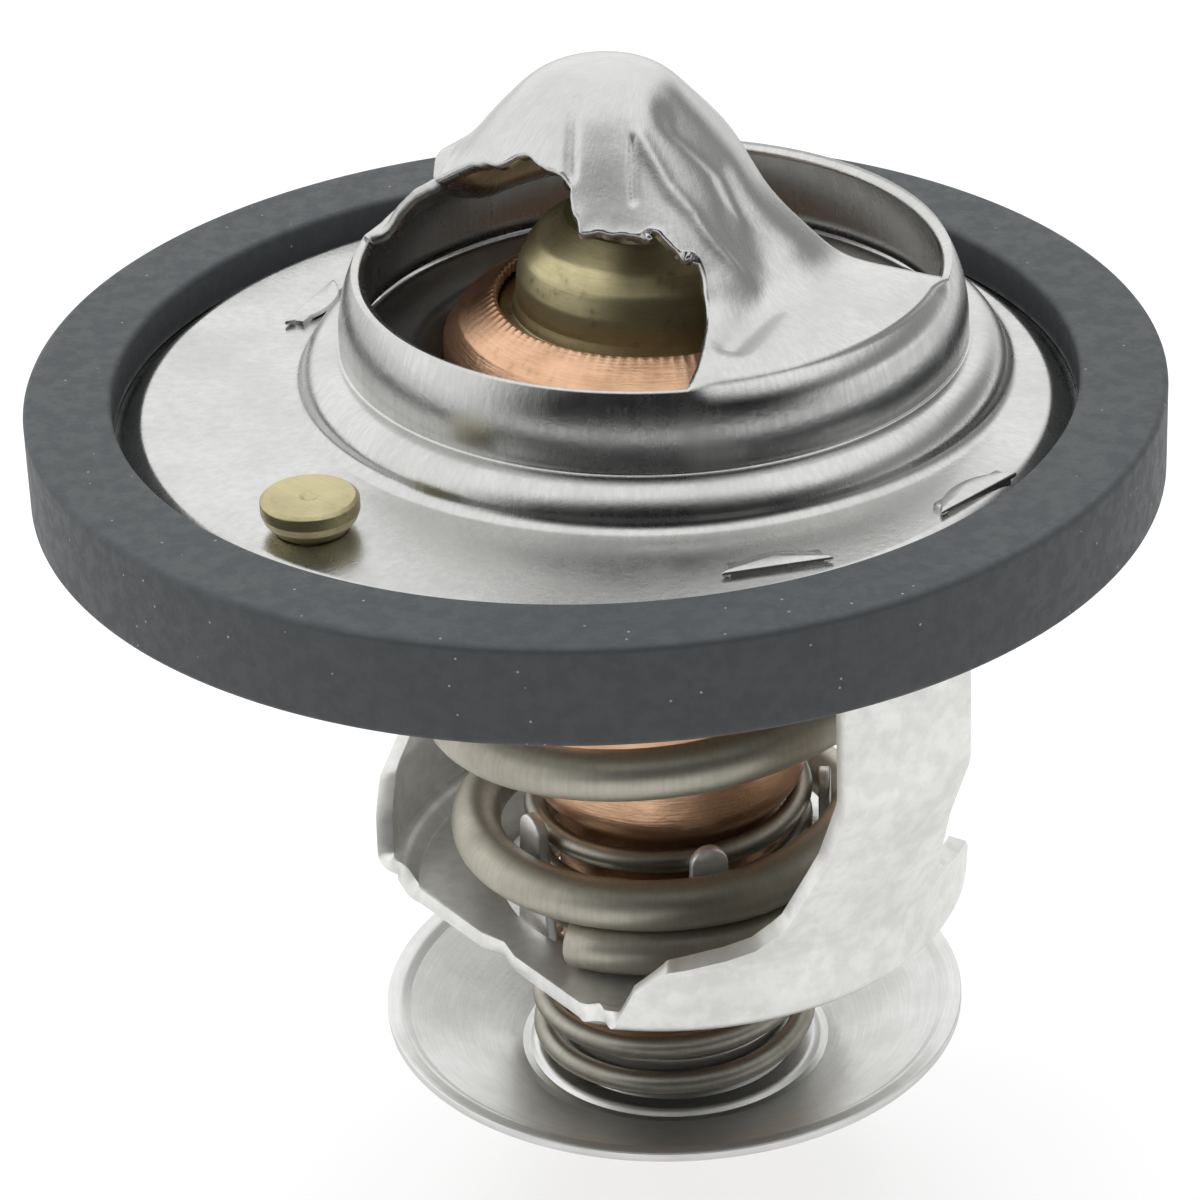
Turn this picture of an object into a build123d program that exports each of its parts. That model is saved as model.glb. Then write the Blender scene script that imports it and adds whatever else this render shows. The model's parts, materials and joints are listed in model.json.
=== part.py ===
from build123d import *
from math import cos, pi, radians, sin, sqrt
import os

# Wax-element coolant valve for an engine, modelled closed and cold, in millimetres.
# The valve axis is Z.  The origin is the centre of the cup's end face, on which it stands.

# ---- Driving dimensions ------------------------------------------------------------------
sheet = 0.75                    # flange and dome
drawn_wall = 0.6                # bridge, thinned by drawing
dome_radius = 17.45             # foot of the lower bead
waist_step = 1.6                # the groove between the two beads lies this far inside it
window_step = 0.43              # the window's edge lies this far inside the groove
waist_height = 2.45             # above the flange flat
window_height = 5.95
wall_bulge = 0.45               # the dome's wall stands out between groove and window
bead_bulge = 0.5                # the lower bead's fullness
bridge_height = 16.05           # apex above the flange flat
bridge_azimuth = -50.0
bridge_lean = 2.25              # the drawn cap stands off the axis by this much

seal_center = (-3.0, -2.3)      # the flange is eccentric, to make room for the jiggle pin
flat_margin = 1.07              # least flat between the dome's foot and the rim's ridge
rim_drop = 1.15                 # rim in the rubber, below the flange flat
rim_slack = 0.25                # between the rim's slope and the rubber
seal_width = 4.3
seal_height = 5.1
seal_top = 42.1                 # height of the rubber's top face
seal_edge = 0.35                # rounding of the rubber's corners
groove_depth = 1.9              # how far the rubber grips the flange
groove_gap = 0.05
flange_drop = 1.1               # flange flat below the rubber's top face

frame_sheet = 0.9
frame_azimuth = -54.1
leg_step = 1.95                 # middle of the legs' sheet outside the dome's foot
leg_width = 7.7
leg_knee = 16.4                 # legs turn in below this drop under the rubber's top
leg_flare_drops = (3.6, 7.8, 9.2)   # below the knee, where the leg widens to the tray
leg_flare_widths = (0.9, 2.2)
floor_drop = 31.0               # frame floor, middle of the sheet
tray_radius = 15.3              # wall of the tray, middle of the sheet
tray_bead = 0.8                 # height of the bead pressed round the floor
tray_bead_steps = (1.9, 1.1, 0.3)   # its foot, crest and end, inside the wall
tray_wall_top = 26.6
tray_width = 22.4               # between the two straight cuts
tray_shoulders = ((-1.8, 0), (-0.6, -1.5), (1.0, -3.6))     # from the cut and the wall's top
prong_count = 5
prong_azimuth = -77.0
prong_width = 2.3
prong_sheet = 0.6
prong_top = 24.3
wing_reach = 3.2                # of the wings, past the legs
tab_length = 5.4
tab_stem = 4.6                  # the clinched end is wider than its stem
tab_depth = 1.3
tab_rise = 0.5
tab_places = ((0.8, -46.0), (1.8, -77.0), (0.5, 144.0), (0.6, 112.0))   # outside the legs
slot_gap = 0.12
seat_gap = 0.05                 # between sheets that lie on each other

rod_radius = 1.9
rod_run = 0.05                  # running clearance of the rod
rod_end = 15.5                  # lower end of the rod, below the rubber's top
rod_chamfer = 1.1
rod_drop = 1.3                  # the rod's end under the bridge's apex
cup_radius = 7.2
cup_neck_step = 1.45            # the neck is this much slimmer than the body
cup_flange_step = 3.2
cup_wall = 0.6
cup_foot_round = 0.8
cup_shoulder = 25.0             # drop of the shoulder where the neck begins
cup_shoulder_height = 2.1
cup_flange_base = 1.3
crimp_corner = 2.1              # heights above the rubber's top
crimp_top = 3.3
crimp_width = 2.7               # of the crimp, seen from above
crimp_slope_run = 0.8           # the slope begins this far inside the crimp's wall
lining_gap = 0.05               # between pieces packed inside the cup
sleeve_wall = 0.9
sleeve_flange = 0.8
guide_top = 7.4
guide_foot_step = 1.0           # the guide's cone starts this far inside the crimp
guide_cone_run = 2.0
guide_top_chamfer = 0.7
wiper_wall = 1.0
wiper_depth = 1.2
wiper_height = 1.5
backup_height = 0.8

valve_sheet = 0.7
valve_clear = 0.35              # between the valve's skirt and the dome
valve_skirt = 3.0
valve_step_run = 1.2
valve_step_land = 0.4           # the flat reaches this far past the cup's flange
valve_edge = (1.2, 1.15)        # run and fall of the sloping edge
valve_bends = (0.72, 0.86, 1.14, 1.29)      # bend radii, in sheets
valve_seat_drop = 0.05          # drops of the valve's seat and of its step
valve_step_drop = 0.25

main_wire = 2.6
main_prong_clear = 0.3          # between the lowest turns and the prongs' circle
main_skirt_clear = 0.95         # between the highest turns and the valve's skirt
main_end_azimuth = -121.0
main_turns = 4.6
main_end_pitch = 0.6            # the lowest and highest turns lie nearly flat
bypass_wire = 1.2
bypass_neck_clear = 0.57        # between the turns and the cup's neck
bypass_end_azimuth = 83.0
bypass_turns = 6.9
bypass_end_pitch = 1.25
closed_turns = 0.6              # at each end of both springs
bypass_seat_rise = 0.58         # the top turn nests this far up the cup's shoulder

disc_radius = 15.5
disc_sheet = 0.5
disc_rim_drop = 37.9
disc_seat_drop = 40.6
disc_groove_depth = 0.25
disc_groove_width = 1.25
disc_bead = 1.3                 # width of the rolled rim
collar_height = 2.3
collar_wall = 0.35
collar_run = 0.1
ring_wire = 0.6
ring_reach = 1.0

jiggle_step = 5.39              # outside the dome's foot
jiggle_azimuth = -136.24
jiggle_head_radius = 2.35
jiggle_head_height = 1.3
jiggle_dimple = 0.2
jiggle_shank_radius = 0.95
jiggle_hole_radius = 1.5
jiggle_play = 1.0
jiggle_bob_radius = 2.1
jiggle_bob_height = 3.4


def level(drop):
    """Height above the origin of a point this far below the rubber's top face."""
    return seal_top - drop


def polar(radius, azimuth):
    return (radius * cos(radians(azimuth)), radius * sin(radians(azimuth)))


def save(builder, name):
    builder.part.label = name
    export_step(builder.part, f"parts/{name}.step")


os.makedirs("parts", exist_ok=True)
flange_top = level(flange_drop)
flange_under = flange_top - sheet
rim_top = flange_top - rim_drop

# Radii that follow from the dome's and from the cup's.
eccentricity = sqrt(seal_center[0] ** 2 + seal_center[1] ** 2)
waist_radius = dome_radius - waist_step
edge_radius = waist_radius - window_step        # outer skin at the window's edge
window_radius = edge_radius - sheet
rim_ridge_radius = dome_radius + eccentricity + flat_margin
seal_inner_radius = rim_ridge_radius + rim_drop + rim_slack
seal_outer_radius = seal_inner_radius + seal_width
flange_radius = seal_inner_radius + groove_depth - 2 * groove_gap
leg_radius = dome_radius + leg_step
jiggle_center = polar(dome_radius + jiggle_step, jiggle_azimuth)
cup_neck_radius = cup_radius - cup_neck_step
cup_flange_radius = cup_radius + cup_flange_step
crimp_inner_radius = cup_flange_radius - crimp_width
guide_foot_radius = crimp_inner_radius - guide_foot_step
guide_top_radius = guide_foot_radius - guide_cone_run
floor_hole_radius = cup_radius + 1.25
valve_radius = dome_radius - sheet - valve_clear - valve_sheet / 2
valve_step_radius = (cup_flange_radius + valve_radius) / 2 - valve_step_run
main_foot_radius = floor_hole_radius + main_prong_clear + main_wire / 2
main_head_radius = valve_radius - valve_sheet / 2 - main_skirt_clear - main_wire / 2
bypass_mean_radius = cup_neck_radius + bypass_neck_clear + bypass_wire / 2

# ---- Rubber ring, gripping the flange's rim in a groove -----------------------------------
with BuildPart() as seal_ring:
    with BuildSketch(Plane.XZ.offset(-seal_center[1])):
        with Locations((seal_center[0] + seal_inner_radius, level(seal_height))):
            Rectangle(
                seal_outer_radius - seal_inner_radius,
                seal_height,
                align=(Align.MIN, Align.MIN),
            )
        with Locations((seal_center[0] + seal_inner_radius, rim_top - sheet - groove_gap)):
            Rectangle(
                groove_depth + groove_gap,
                sheet + 2 * groove_gap,
                align=(Align.MIN, Align.MIN),
                mode=Mode.SUBTRACT,
            )
    revolve(axis=Axis((seal_center[0], seal_center[1], 0), (0, 0, 1)))
    outer_edges = seal_ring.edges().filter_by(GeomType.CIRCLE).sort_by(Axis.Z)
    fillet(outer_edges[0:2] + outer_edges[-2:], seal_edge)
save(seal_ring, "seal_ring")

# ---- Flange, beaded dome and bridge, one stamping -----------------------------------------
waist_level = flange_top + waist_height
window_level = flange_top + window_height
apex_level = flange_top + bridge_height

# The drawn bell that the bridge is pierced from, from the dome's wall to the apex: shares of
# the bell's height, of its radius at the foot and of its lean.
bell_foot = window_height - 0.35
bell_shares = (
    (0, 1, 0),
    (0.032, 0.988, 0),
    (0.051, 0.948, 0),
    (0.072, 0.831, 0),
    (0.14, 0.66, 0.19),
    (0.267, 0.589, 0.55),
    (0.439, 0.527, 1),
    (0.629, 0.418, 1),
    (0.801, 0.316, 1),
    (0.937, 0.222, 0.97),
    (1, 0.128, 0.93),
)
skin = drawn_wall / sqrt(2)

# Edges of the bridge's strip in plan, along and across it, in window radii: one clean, one
# torn.
strip_reach = 1.2 * edge_radius
clean_edge = (
    (-0.79, 0.573),
    (-0.695, 0.45),
    (-0.511, 0.32),
    (0, 0.266),
    (0.511, 0.32),
    (0.695, 0.45),
    (0.79, 0.573),
)
torn_edge = (
    (0.845, -0.59),
    (0.69, -0.395),
    (0.592, -0.286),
    (0.53, -0.233),
    (0.489, -0.225),
    (0.459, -0.275),
    (0.421, -0.294),
    (0.382, -0.327),
    (0.364, -0.381),
    (0.281, -0.479),
    (0.233, -0.5),
    (0.182, -0.494),
    (0.126, -0.463),
    (0.036, -0.484),
    (-0.078, -0.496),
    (-0.154, -0.528),
    (-0.37, -0.528),
    (-0.498, -0.457),
    (-0.627, -0.389),
    (-0.736, -0.355),
    (-0.832, -0.382),
    (-0.886, -0.504),
)


def in_plan(edge):
    """An edge of the strip, in millimetres."""
    return [(window_radius * along, window_radius * across) for along, across in edge]


def bell_rings(inset):
    """Height, centre and radius of each ring of the bell, this far inside its outer skin."""
    rings = []
    for height_share, radius_share, lean_share in bell_shares:
        height = bell_foot + height_share * (bridge_height - bell_foot) - inset
        lean = -bridge_lean * lean_share
        rings.append((flange_top + height, lean, radius_share * edge_radius - inset))
    return rings


with BuildPart() as bell_space:
    for height, lean, radius in bell_rings(skin):
        with BuildSketch(Plane.XY.offset(height)):
            with Locations((lean, 0)):
                Circle(radius)
    loft()

with BuildPart() as bell_strip:
    for height, lean, radius in bell_rings(0):
        with BuildSketch(Plane.XY.offset(height)):
            with Locations((lean, 0)):
                Circle(radius)
    loft()
    add(bell_space.part, mode=Mode.SUBTRACT)
    with BuildSketch(Plane.XY.rotated((0, 0, bridge_azimuth)).offset(flange_top)):
        Circle(strip_reach)
        with BuildLine():
            clean = in_plan(clean_edge)
            torn = in_plan(torn_edge)
            Spline(*clean)
            Polyline(
                clean[-1],
                (strip_reach, clean[-1][1]),
                (strip_reach, torn[0][1]),
                *torn,
                (-strip_reach, torn[-1][1]),
                (-strip_reach, clean[0][1]),
                clean[0],
            )
        make_face(mode=Mode.SUBTRACT)
    extrude(amount=2 * bridge_height, mode=Mode.SUBTRACT)

with BuildPart() as flange_bridge:
    # Dome and inner part of the flange, turned about the valve axis.
    with BuildSketch(Plane.XZ):
        with BuildLine():
            foot_round = 0.65
            bead_top = (dome_radius, flange_top + foot_round)
            ThreePointArc(
                (edge_radius, window_level),
                ((edge_radius + waist_radius) / 2 + wall_bulge, (window_level + waist_level) / 2),
                (waist_radius, waist_level),
            )
            ThreePointArc(
                (waist_radius, waist_level),
                (dome_radius - bead_bulge, waist_level - 0.6),
                bead_top,
            )
            ThreePointArc(
                bead_top,
                (dome_radius + 0.3 * foot_round, flange_top + 0.3 * foot_round),
                (dome_radius + foot_round, flange_top),
            )
            Line((dome_radius + foot_round, flange_top), (dome_radius + 0.8, flange_top))
            offset(amount=sheet, side=Side.RIGHT)
        make_face()
    revolve(axis=Axis.Z)
    # Flat, out to the ridge, with the seal's centre.
    with BuildSketch(Plane.XY.offset(flange_under)):
        with Locations(seal_center):
            Circle(rim_ridge_radius - 0.2)
        Circle(dome_radius + 0.7, mode=Mode.SUBTRACT)
    extrude(amount=sheet)
    # Ridge and rim.
    with BuildSketch(Plane.XZ.offset(-seal_center[1])):
        with BuildLine():
            Polyline(
                (seal_center[0] + rim_ridge_radius - 0.3, flange_top),
                (seal_center[0] + rim_ridge_radius, flange_top),
                (seal_center[0] + rim_ridge_radius + rim_drop, rim_top),
                (seal_center[0] + flange_radius, rim_top),
            )
            offset(amount=sheet, side=Side.RIGHT)
        make_face()
    revolve(axis=Axis((seal_center[0], seal_center[1], 0), (0, 0, 1)))
    add(bell_strip.part)
    # Slots for the frame's tabs, and the jiggle pin's hole.
    for step, azimuth in tab_places:
        with BuildSketch(Plane.XY.offset(flange_under - 1).rotated((0, 0, azimuth))):
            with Locations((leg_radius + step + tab_depth / 2, 0)):
                Rectangle(frame_sheet + 2 * slot_gap, tab_stem + 2 * slot_gap)
        extrude(amount=sheet + 2, mode=Mode.SUBTRACT)
    with Locations((*jiggle_center, flange_top)):
        Hole(jiggle_hole_radius, depth=sheet + 1)
save(flange_bridge, "flange_bridge")

# ---- Frame: tray, legs and clinched tabs, one stamping ------------------------------------
floor_level = level(floor_drop)
wall_top_level = level(tray_wall_top)
knee_level = level(leg_knee)
leg_top_level = flange_under - seat_gap - frame_sheet / 2
half_frame_sheet = frame_sheet / 2
half_leg = leg_width / 2
half_tray = tray_width / 2
tab_back = tab_depth / 2 + half_frame_sheet
bends = [share * frame_sheet for share in (0.56, 0.51, 0.51, 1.67, 2.78)]
along_frame = Plane.XY.rotated((0, 0, frame_azimuth))
side_of_frame = Plane(origin=(0, 0, 0), x_dir=along_frame.y_dir, z_dir=along_frame.x_dir)

with BuildPart() as lower_frame:
    # Section of the sheet from the floor's hole, over the bead, up the wall and the leg.
    with BuildSketch(Plane.XZ):
        with BuildLine():
            FilletPolyline(
                (floor_hole_radius + half_frame_sheet, floor_level),
                (tray_radius - tray_bead_steps[0], floor_level),
                (tray_radius - tray_bead_steps[1], floor_level + tray_bead),
                (tray_radius - tray_bead_steps[2], floor_level + 0.75 * tray_bead),
                (tray_radius, wall_top_level),
                (leg_radius, knee_level),
                (leg_radius, leg_top_level),
                radius=bends,
            )
            offset(amount=half_frame_sheet, side=Side.BOTH)
        make_face()
    revolve(axis=Axis.Z)
    # The strip that is left in plan.
    with BuildSketch(along_frame):
        Rectangle(4 * leg_radius, tray_width)
    extrude(amount=seal_top, mode=Mode.INTERSECT)
    # The outline that is left from the side.
    with BuildSketch(side_of_frame.offset(-1.5 * leg_radius)):
        with BuildLine():
            half = (
                (half_leg, seal_top),
                (half_leg, knee_level - leg_flare_drops[0]),
                (half_leg + leg_flare_widths[0], knee_level - leg_flare_drops[1]),
                (half_leg + leg_flare_widths[1], knee_level - leg_flare_drops[2]),
                *[(half_tray + x, wall_top_level + z) for x, z in tray_shoulders],
                (half_tray + tray_shoulders[-1][0], 0),
            )
            Polyline(*half, *[(-x, y) for x, y in reversed(half)], close=True)
        make_face()
    extrude(amount=3 * leg_radius, mode=Mode.INTERSECT)
    # Wings that lie under the flange, with a stem and a clinched end at each slot.
    for first in (0, 2):
        azimuths = [azimuth for step, azimuth in tab_places[first : first + 2]]
        middle = sum(azimuths) / 2
        spread = abs(azimuths[0] - azimuths[1]) / 2 + 10
        with BuildSketch(Plane.XY.offset(leg_top_level - half_frame_sheet)):
            with BuildLine():
                start = middle - spread
                inner = leg_radius - half_frame_sheet
                outer = leg_radius + wing_reach
                CenterArc((0, 0), outer, start, 2 * spread)
                CenterArc((0, 0), inner, start, 2 * spread)
                Line(polar(inner, start), polar(outer, start))
                Line(polar(inner, start + 2 * spread), polar(outer, start + 2 * spread))
            make_face()
            with Locations(seal_center):
                Circle(rim_ridge_radius - 0.4, mode=Mode.INTERSECT)
        extrude(amount=frame_sheet)
    for step, azimuth in tab_places:
        with BuildSketch(Plane.XY.offset(leg_top_level).rotated((0, 0, azimuth))):
            with Locations((leg_radius + step + tab_depth / 2, 0)):
                Rectangle(frame_sheet, tab_stem)
        extrude(amount=flange_top + tab_rise - leg_top_level)
        with BuildSketch(Plane.XY.offset(flange_top + seat_gap).rotated((0, 0, azimuth))):
            with BuildLine():
                back = leg_radius + step + tab_back
                bow = ThreePointArc(
                    (back, -tab_length / 2),
                    (back - tab_depth, 0),
                    (back, tab_length / 2),
                )
                Line(bow @ 0, bow @ 1)
            make_face()
        extrude(amount=tab_rise - seat_gap)
    # Prongs turned up from the hole's edge, which guide the spring and the cup.
    for i in range(prong_count):
        azimuth = prong_azimuth + i * 360 / prong_count
        face = Plane(
            origin=(*polar(floor_hole_radius, azimuth), 0),
            x_dir=(sin(radians(azimuth)), -cos(radians(azimuth)), 0),
            z_dir=(-cos(radians(azimuth)), -sin(radians(azimuth)), 0),
        )
        with BuildSketch(face):
            with BuildLine():
                foot = floor_level - half_frame_sheet
                shoulder = level(prong_top) - prong_width / 2
                left = (-prong_width / 2 - 0.3, foot)
                right = (prong_width / 2 + 0.3, foot)
                Line(left, right)
                Line(right, (prong_width / 2 - 0.2, shoulder))
                ThreePointArc(
                    (prong_width / 2 - 0.2, shoulder),
                    (0, level(prong_top)),
                    (0.2 - prong_width / 2, shoulder),
                )
                Line((0.2 - prong_width / 2, shoulder), left)
            make_face()
        extrude(amount=prong_sheet)
        with BuildSketch(Plane.XY.offset(floor_level - half_frame_sheet).rotated((0, 0, azimuth))):
            with Locations((floor_hole_radius, 0)):
                Rectangle(2 * prong_sheet, prong_width + 0.6)
        extrude(amount=frame_sheet)
save(lower_frame, "lower_frame")

# ---- Wax element: copper cup, brass guide, sleeve, wax, rod and its two small rings --------
flange_inside = level(cup_flange_base) + cup_wall
flange_wall_inside = cup_flange_radius - cup_wall
neck_inside = cup_neck_radius - cup_wall
body_inside = cup_radius - cup_wall
shoulder_low = level(cup_shoulder) - 0.2
shoulder_high = shoulder_low + cup_shoulder_height
slope_radius = cup_flange_radius - crimp_slope_run
lip_low = (slope_radius - cup_wall / 2, level(-crimp_corner) - cup_wall + 0.1)
lip_high = (crimp_inner_radius, level(-crimp_top) - cup_wall)

with BuildPart() as wax_cup:
    with BuildSketch(Plane.XZ):
        with BuildLine():
            foot_end = (cup_neck_radius - cup_foot_round, 0)
            neck_start = (cup_neck_radius, cup_foot_round)
            Line((0, 0), foot_end)
            RadiusArc(foot_end, neck_start, -cup_foot_round)
            Line(neck_start, (cup_neck_radius, shoulder_low))
            ThreePointArc(
                (cup_neck_radius, shoulder_low),
                (cup_radius - 0.35, shoulder_low + 0.8),
                (cup_radius, shoulder_high),
            )
            Polyline(
                (cup_radius, shoulder_high),
                (cup_radius, level(cup_flange_base)),
                (cup_flange_radius, level(cup_flange_base)),
                (cup_flange_radius, level(1.0 - crimp_corner)),
            )
            ThreePointArc(
                (cup_flange_radius, level(1.0 - crimp_corner)),
                (cup_flange_radius - 0.3, level(0.35 - crimp_corner)),
                (slope_radius, level(-crimp_corner)),
            )
            Polyline(
                (slope_radius, level(-crimp_corner)),
                (crimp_inner_radius, level(-crimp_top)),
                lip_high,
                lip_low,
                (flange_wall_inside, level(1.2 - crimp_corner)),
                (flange_wall_inside, flange_inside),
                (body_inside, flange_inside),
                (body_inside, shoulder_high + 0.1),
                (neck_inside, shoulder_low + cup_wall),
                (neck_inside, cup_wall),
                (0, cup_wall),
                (0, 0),
            )
        make_face()
    revolve(axis=Axis.Z)
save(wax_cup, "wax_cup")

# A rubber sleeve keeps the wax off the rod; its flange is clamped under the guide's.
guide_base = flange_inside + sleeve_flange
guide_flange_radius = flange_wall_inside - lining_gap
guide_top_level = level(-guide_top)
wiper_floor = guide_top_level - wiper_depth

with BuildPart() as guide_body:
    with BuildSketch(Plane.XZ):
        Polygon(
            (rod_radius + rod_run, guide_base),
            (guide_flange_radius, guide_base),
            (guide_flange_radius, level(1.3 - crimp_corner)),
            (lip_low[0] - 0.1, lip_low[1] - 0.25),
            (lip_high[0] - 0.1, lip_high[1] - 0.25),
            (guide_foot_radius + 0.25, lip_high[1] - 0.1),
            (guide_foot_radius, lip_high[1] + 0.3),
            (guide_top_radius + guide_top_chamfer / 2, guide_top_level - guide_top_chamfer),
            (guide_top_radius - guide_top_chamfer / 2, guide_top_level),
            (rod_radius + wiper_wall, guide_top_level),
            (rod_radius + wiper_wall, wiper_floor),
            (rod_radius + rod_run, wiper_floor),
            align=None,
        )
    revolve(axis=Axis.Z)
save(guide_body, "guide_body")

with BuildPart() as rod_wiper:
    with BuildSketch(Plane.XY.offset(wiper_floor)):
        Circle(rod_radius + wiper_wall - lining_gap)
        Circle(rod_radius + rod_run, mode=Mode.SUBTRACT)
    extrude(amount=wiper_height)
    chamfer(rod_wiper.edges().filter_by(GeomType.CIRCLE).sort_by(Axis.Z)[-1], 0.3)
save(rod_wiper, "rod_wiper")

backup_floor = guide_base - backup_height
with BuildPart() as backup_ring:
    with BuildSketch(Plane.XY.offset(backup_floor)):
        Circle(rod_radius + sleeve_wall)
        Circle(rod_radius + rod_run, mode=Mode.SUBTRACT)
    extrude(amount=backup_height)
save(backup_ring, "backup_ring")

sleeve_outer = rod_radius + sleeve_wall
sleeve_end = level(rod_end) - 0.4
flare_top = flange_inside - 1.5     # where the sleeve widens to its flange
flare_foot = flange_inside - 3.0
with BuildPart() as rubber_sleeve:
    with BuildSketch(Plane.XZ):
        Polygon(
            (0, sleeve_end),
            (rod_radius + lining_gap, sleeve_end),
            (rod_radius + lining_gap, backup_floor),
            (sleeve_outer, backup_floor),
            (sleeve_outer, guide_base),
            (guide_flange_radius, guide_base),
            (guide_flange_radius, flange_inside),
            (sleeve_outer + sleeve_wall, flange_inside),
            (sleeve_outer + sleeve_wall, flare_top),
            (sleeve_outer, flare_foot),
            (sleeve_outer, sleeve_end - sleeve_wall),
            (0, sleeve_end - sleeve_wall),
            align=None,
        )
    revolve(axis=Axis.Z)
save(rubber_sleeve, "rubber_sleeve")

with BuildPart() as wax_charge:
    with BuildSketch(Plane.XZ):
        Polygon(
            (0, cup_wall + lining_gap),
            (neck_inside - lining_gap, cup_wall + lining_gap),
            (neck_inside - lining_gap, shoulder_low + cup_wall + lining_gap),
            (body_inside - lining_gap, shoulder_high + 0.1 + lining_gap),
            (body_inside - lining_gap, flange_inside - lining_gap),
            (sleeve_outer + sleeve_wall + lining_gap, flange_inside - lining_gap),
            (sleeve_outer + sleeve_wall + lining_gap, flare_top - lining_gap),
            (sleeve_outer + lining_gap, flare_foot - lining_gap),
            (sleeve_outer + lining_gap, sleeve_end - sleeve_wall - lining_gap),
            (0, sleeve_end - sleeve_wall - lining_gap),
            align=None,
        )
    revolve(axis=Axis.Z)
save(wax_charge, "wax_charge")

rod_top = apex_level - rod_drop
with BuildPart() as piston_rod:
    with BuildSketch(Plane.XY.offset(level(rod_end))):
        Circle(rod_radius)
    extrude(amount=rod_top - level(rod_end))
    chamfer(piston_rod.edges().filter_by(GeomType.CIRCLE).sort_by(Axis.Z)[-1], rod_chamfer)
    fillet(piston_rod.edges().filter_by(GeomType.CIRCLE).sort_by(Axis.Z)[0], rod_radius / 3)
save(piston_rod, "piston_rod")

# ---- Main valve: a dished disc under the cup's flange --------------------------------------
half_valve_sheet = valve_sheet / 2
under_cup = level(cup_flange_base) - seat_gap - half_valve_sheet
valve_seat = level(valve_seat_drop)
with BuildPart() as main_valve:
    with BuildSketch(Plane.XZ):
        with BuildLine():
            FilletPolyline(
                (cup_radius + seat_gap + half_valve_sheet, under_cup),
                (cup_flange_radius + valve_step_land, under_cup),
                (valve_step_radius, level(valve_step_drop)),
                (valve_radius - valve_edge[0], valve_seat),
                (valve_radius, valve_seat - valve_edge[1]),
                (valve_radius, level(valve_skirt)),
                radius=[share * valve_sheet for share in valve_bends],
            )
            offset(amount=half_valve_sheet, side=Side.BOTH)
        make_face()
    revolve(axis=Axis.Z)
save(main_valve, "main_valve")

# ---- Bypass disc: rim bead, cone, spring groove and the collar that slides on the cup ------
half_disc = disc_sheet / 2
collar_bore = cup_neck_radius + collar_run
collar_outer = collar_bore + collar_wall
seat_middle = level(disc_seat_drop) - half_disc
rim_middle = level(disc_rim_drop) - half_disc
groove_middle = seat_middle - disc_groove_depth
groove_start = bypass_mean_radius + bypass_wire / 2 + 0.15
groove_end = groove_start + disc_groove_width
with BuildPart() as bypass_disc:
    with BuildSketch(Plane.XZ):
        with BuildLine():
            FilletPolyline(
                (collar_outer - collar_wall / 2 + half_disc, seat_middle),
                (groove_start - 0.3, seat_middle),
                (groove_start, groove_middle),
                (groove_end - 0.7, groove_middle),
                (groove_end, seat_middle + 0.1),
                (disc_radius - disc_bead, rim_middle - 0.3),
                (disc_radius - disc_bead + 0.4, rim_middle),
                (disc_radius - half_disc, rim_middle),
                radius=(0.28, 0.28, 0.28, 0.8, 0.3, 0.28),
            )
            offset(amount=half_disc, side=Side.BOTH)
        make_face()
        Polygon(
            (collar_bore, seat_middle - half_disc),
            (collar_outer + 0.3, seat_middle - half_disc),
            (collar_outer + 0.3, seat_middle + half_disc),
            (collar_outer, seat_middle + half_disc + 0.3),
            (collar_outer, seat_middle + half_disc + collar_height),
            (collar_bore, seat_middle + half_disc + collar_height),
            align=None,
        )
    revolve(axis=Axis.Z)
save(bypass_disc, "bypass_disc")

with BuildPart() as retaining_ring:
    with BuildSketch(Plane.XZ):
        with Locations((cup_neck_radius, seat_middle - half_disc - seat_gap - ring_wire)):
            Rectangle(ring_reach, ring_wire, align=(Align.MIN, Align.MIN))
    revolve(axis=Axis.Z, revolution_arc=325)
save(retaining_ring, "retaining_ring")

# ---- Jiggle pin: a headed pin with a riveted bob, loose in the flange -----------------------
head_floor = flange_top + seat_gap
head_top = head_floor + jiggle_head_height
bob_top = flange_under - jiggle_play
bob_floor = bob_top - jiggle_bob_height
jiggle_axis = Axis((*jiggle_center, 0), (0, 0, 1))
jiggle_plane = Plane(origin=(*jiggle_center, 0), x_dir=(1, 0, 0), z_dir=(0, -1, 0))
with BuildPart() as jiggle_pin:
    with BuildSketch(jiggle_plane):
        Polygon(
            (0, bob_floor - 0.5),
            (jiggle_shank_radius, bob_floor - 0.5),
            (jiggle_shank_radius, head_floor),
            (jiggle_head_radius - 0.55, head_floor),
            (jiggle_head_radius, head_floor + jiggle_head_height / 2),
            (jiggle_head_radius, head_top - jiggle_dimple),
            (jiggle_head_radius - 0.25, head_top),
            (0.55, head_top),
            (0, head_top - jiggle_dimple),
            align=None,
        )
    revolve(axis=jiggle_axis)
save(jiggle_pin, "jiggle_pin")

with BuildPart() as jiggle_bob:
    with BuildSketch(jiggle_plane):
        Polygon(
            (jiggle_shank_radius + lining_gap, bob_floor),
            (jiggle_bob_radius - 0.7, bob_floor),
            (jiggle_bob_radius, bob_floor + 0.9),
            (jiggle_bob_radius, bob_top - 1.2),
            (jiggle_bob_radius - 0.5, bob_top),
            (jiggle_shank_radius + lining_gap, bob_top),
            align=None,
        )
    revolve(axis=jiggle_axis)
save(jiggle_bob, "jiggle_bob")


# ---- Springs --------------------------------------------------------------------------------
def ease(value, low, high):
    """Smooth step from 0 below low to 1 above high."""
    share = min(max((value - low) / (high - low), 0), 1)
    return share * share * (3 - 2 * share)


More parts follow.
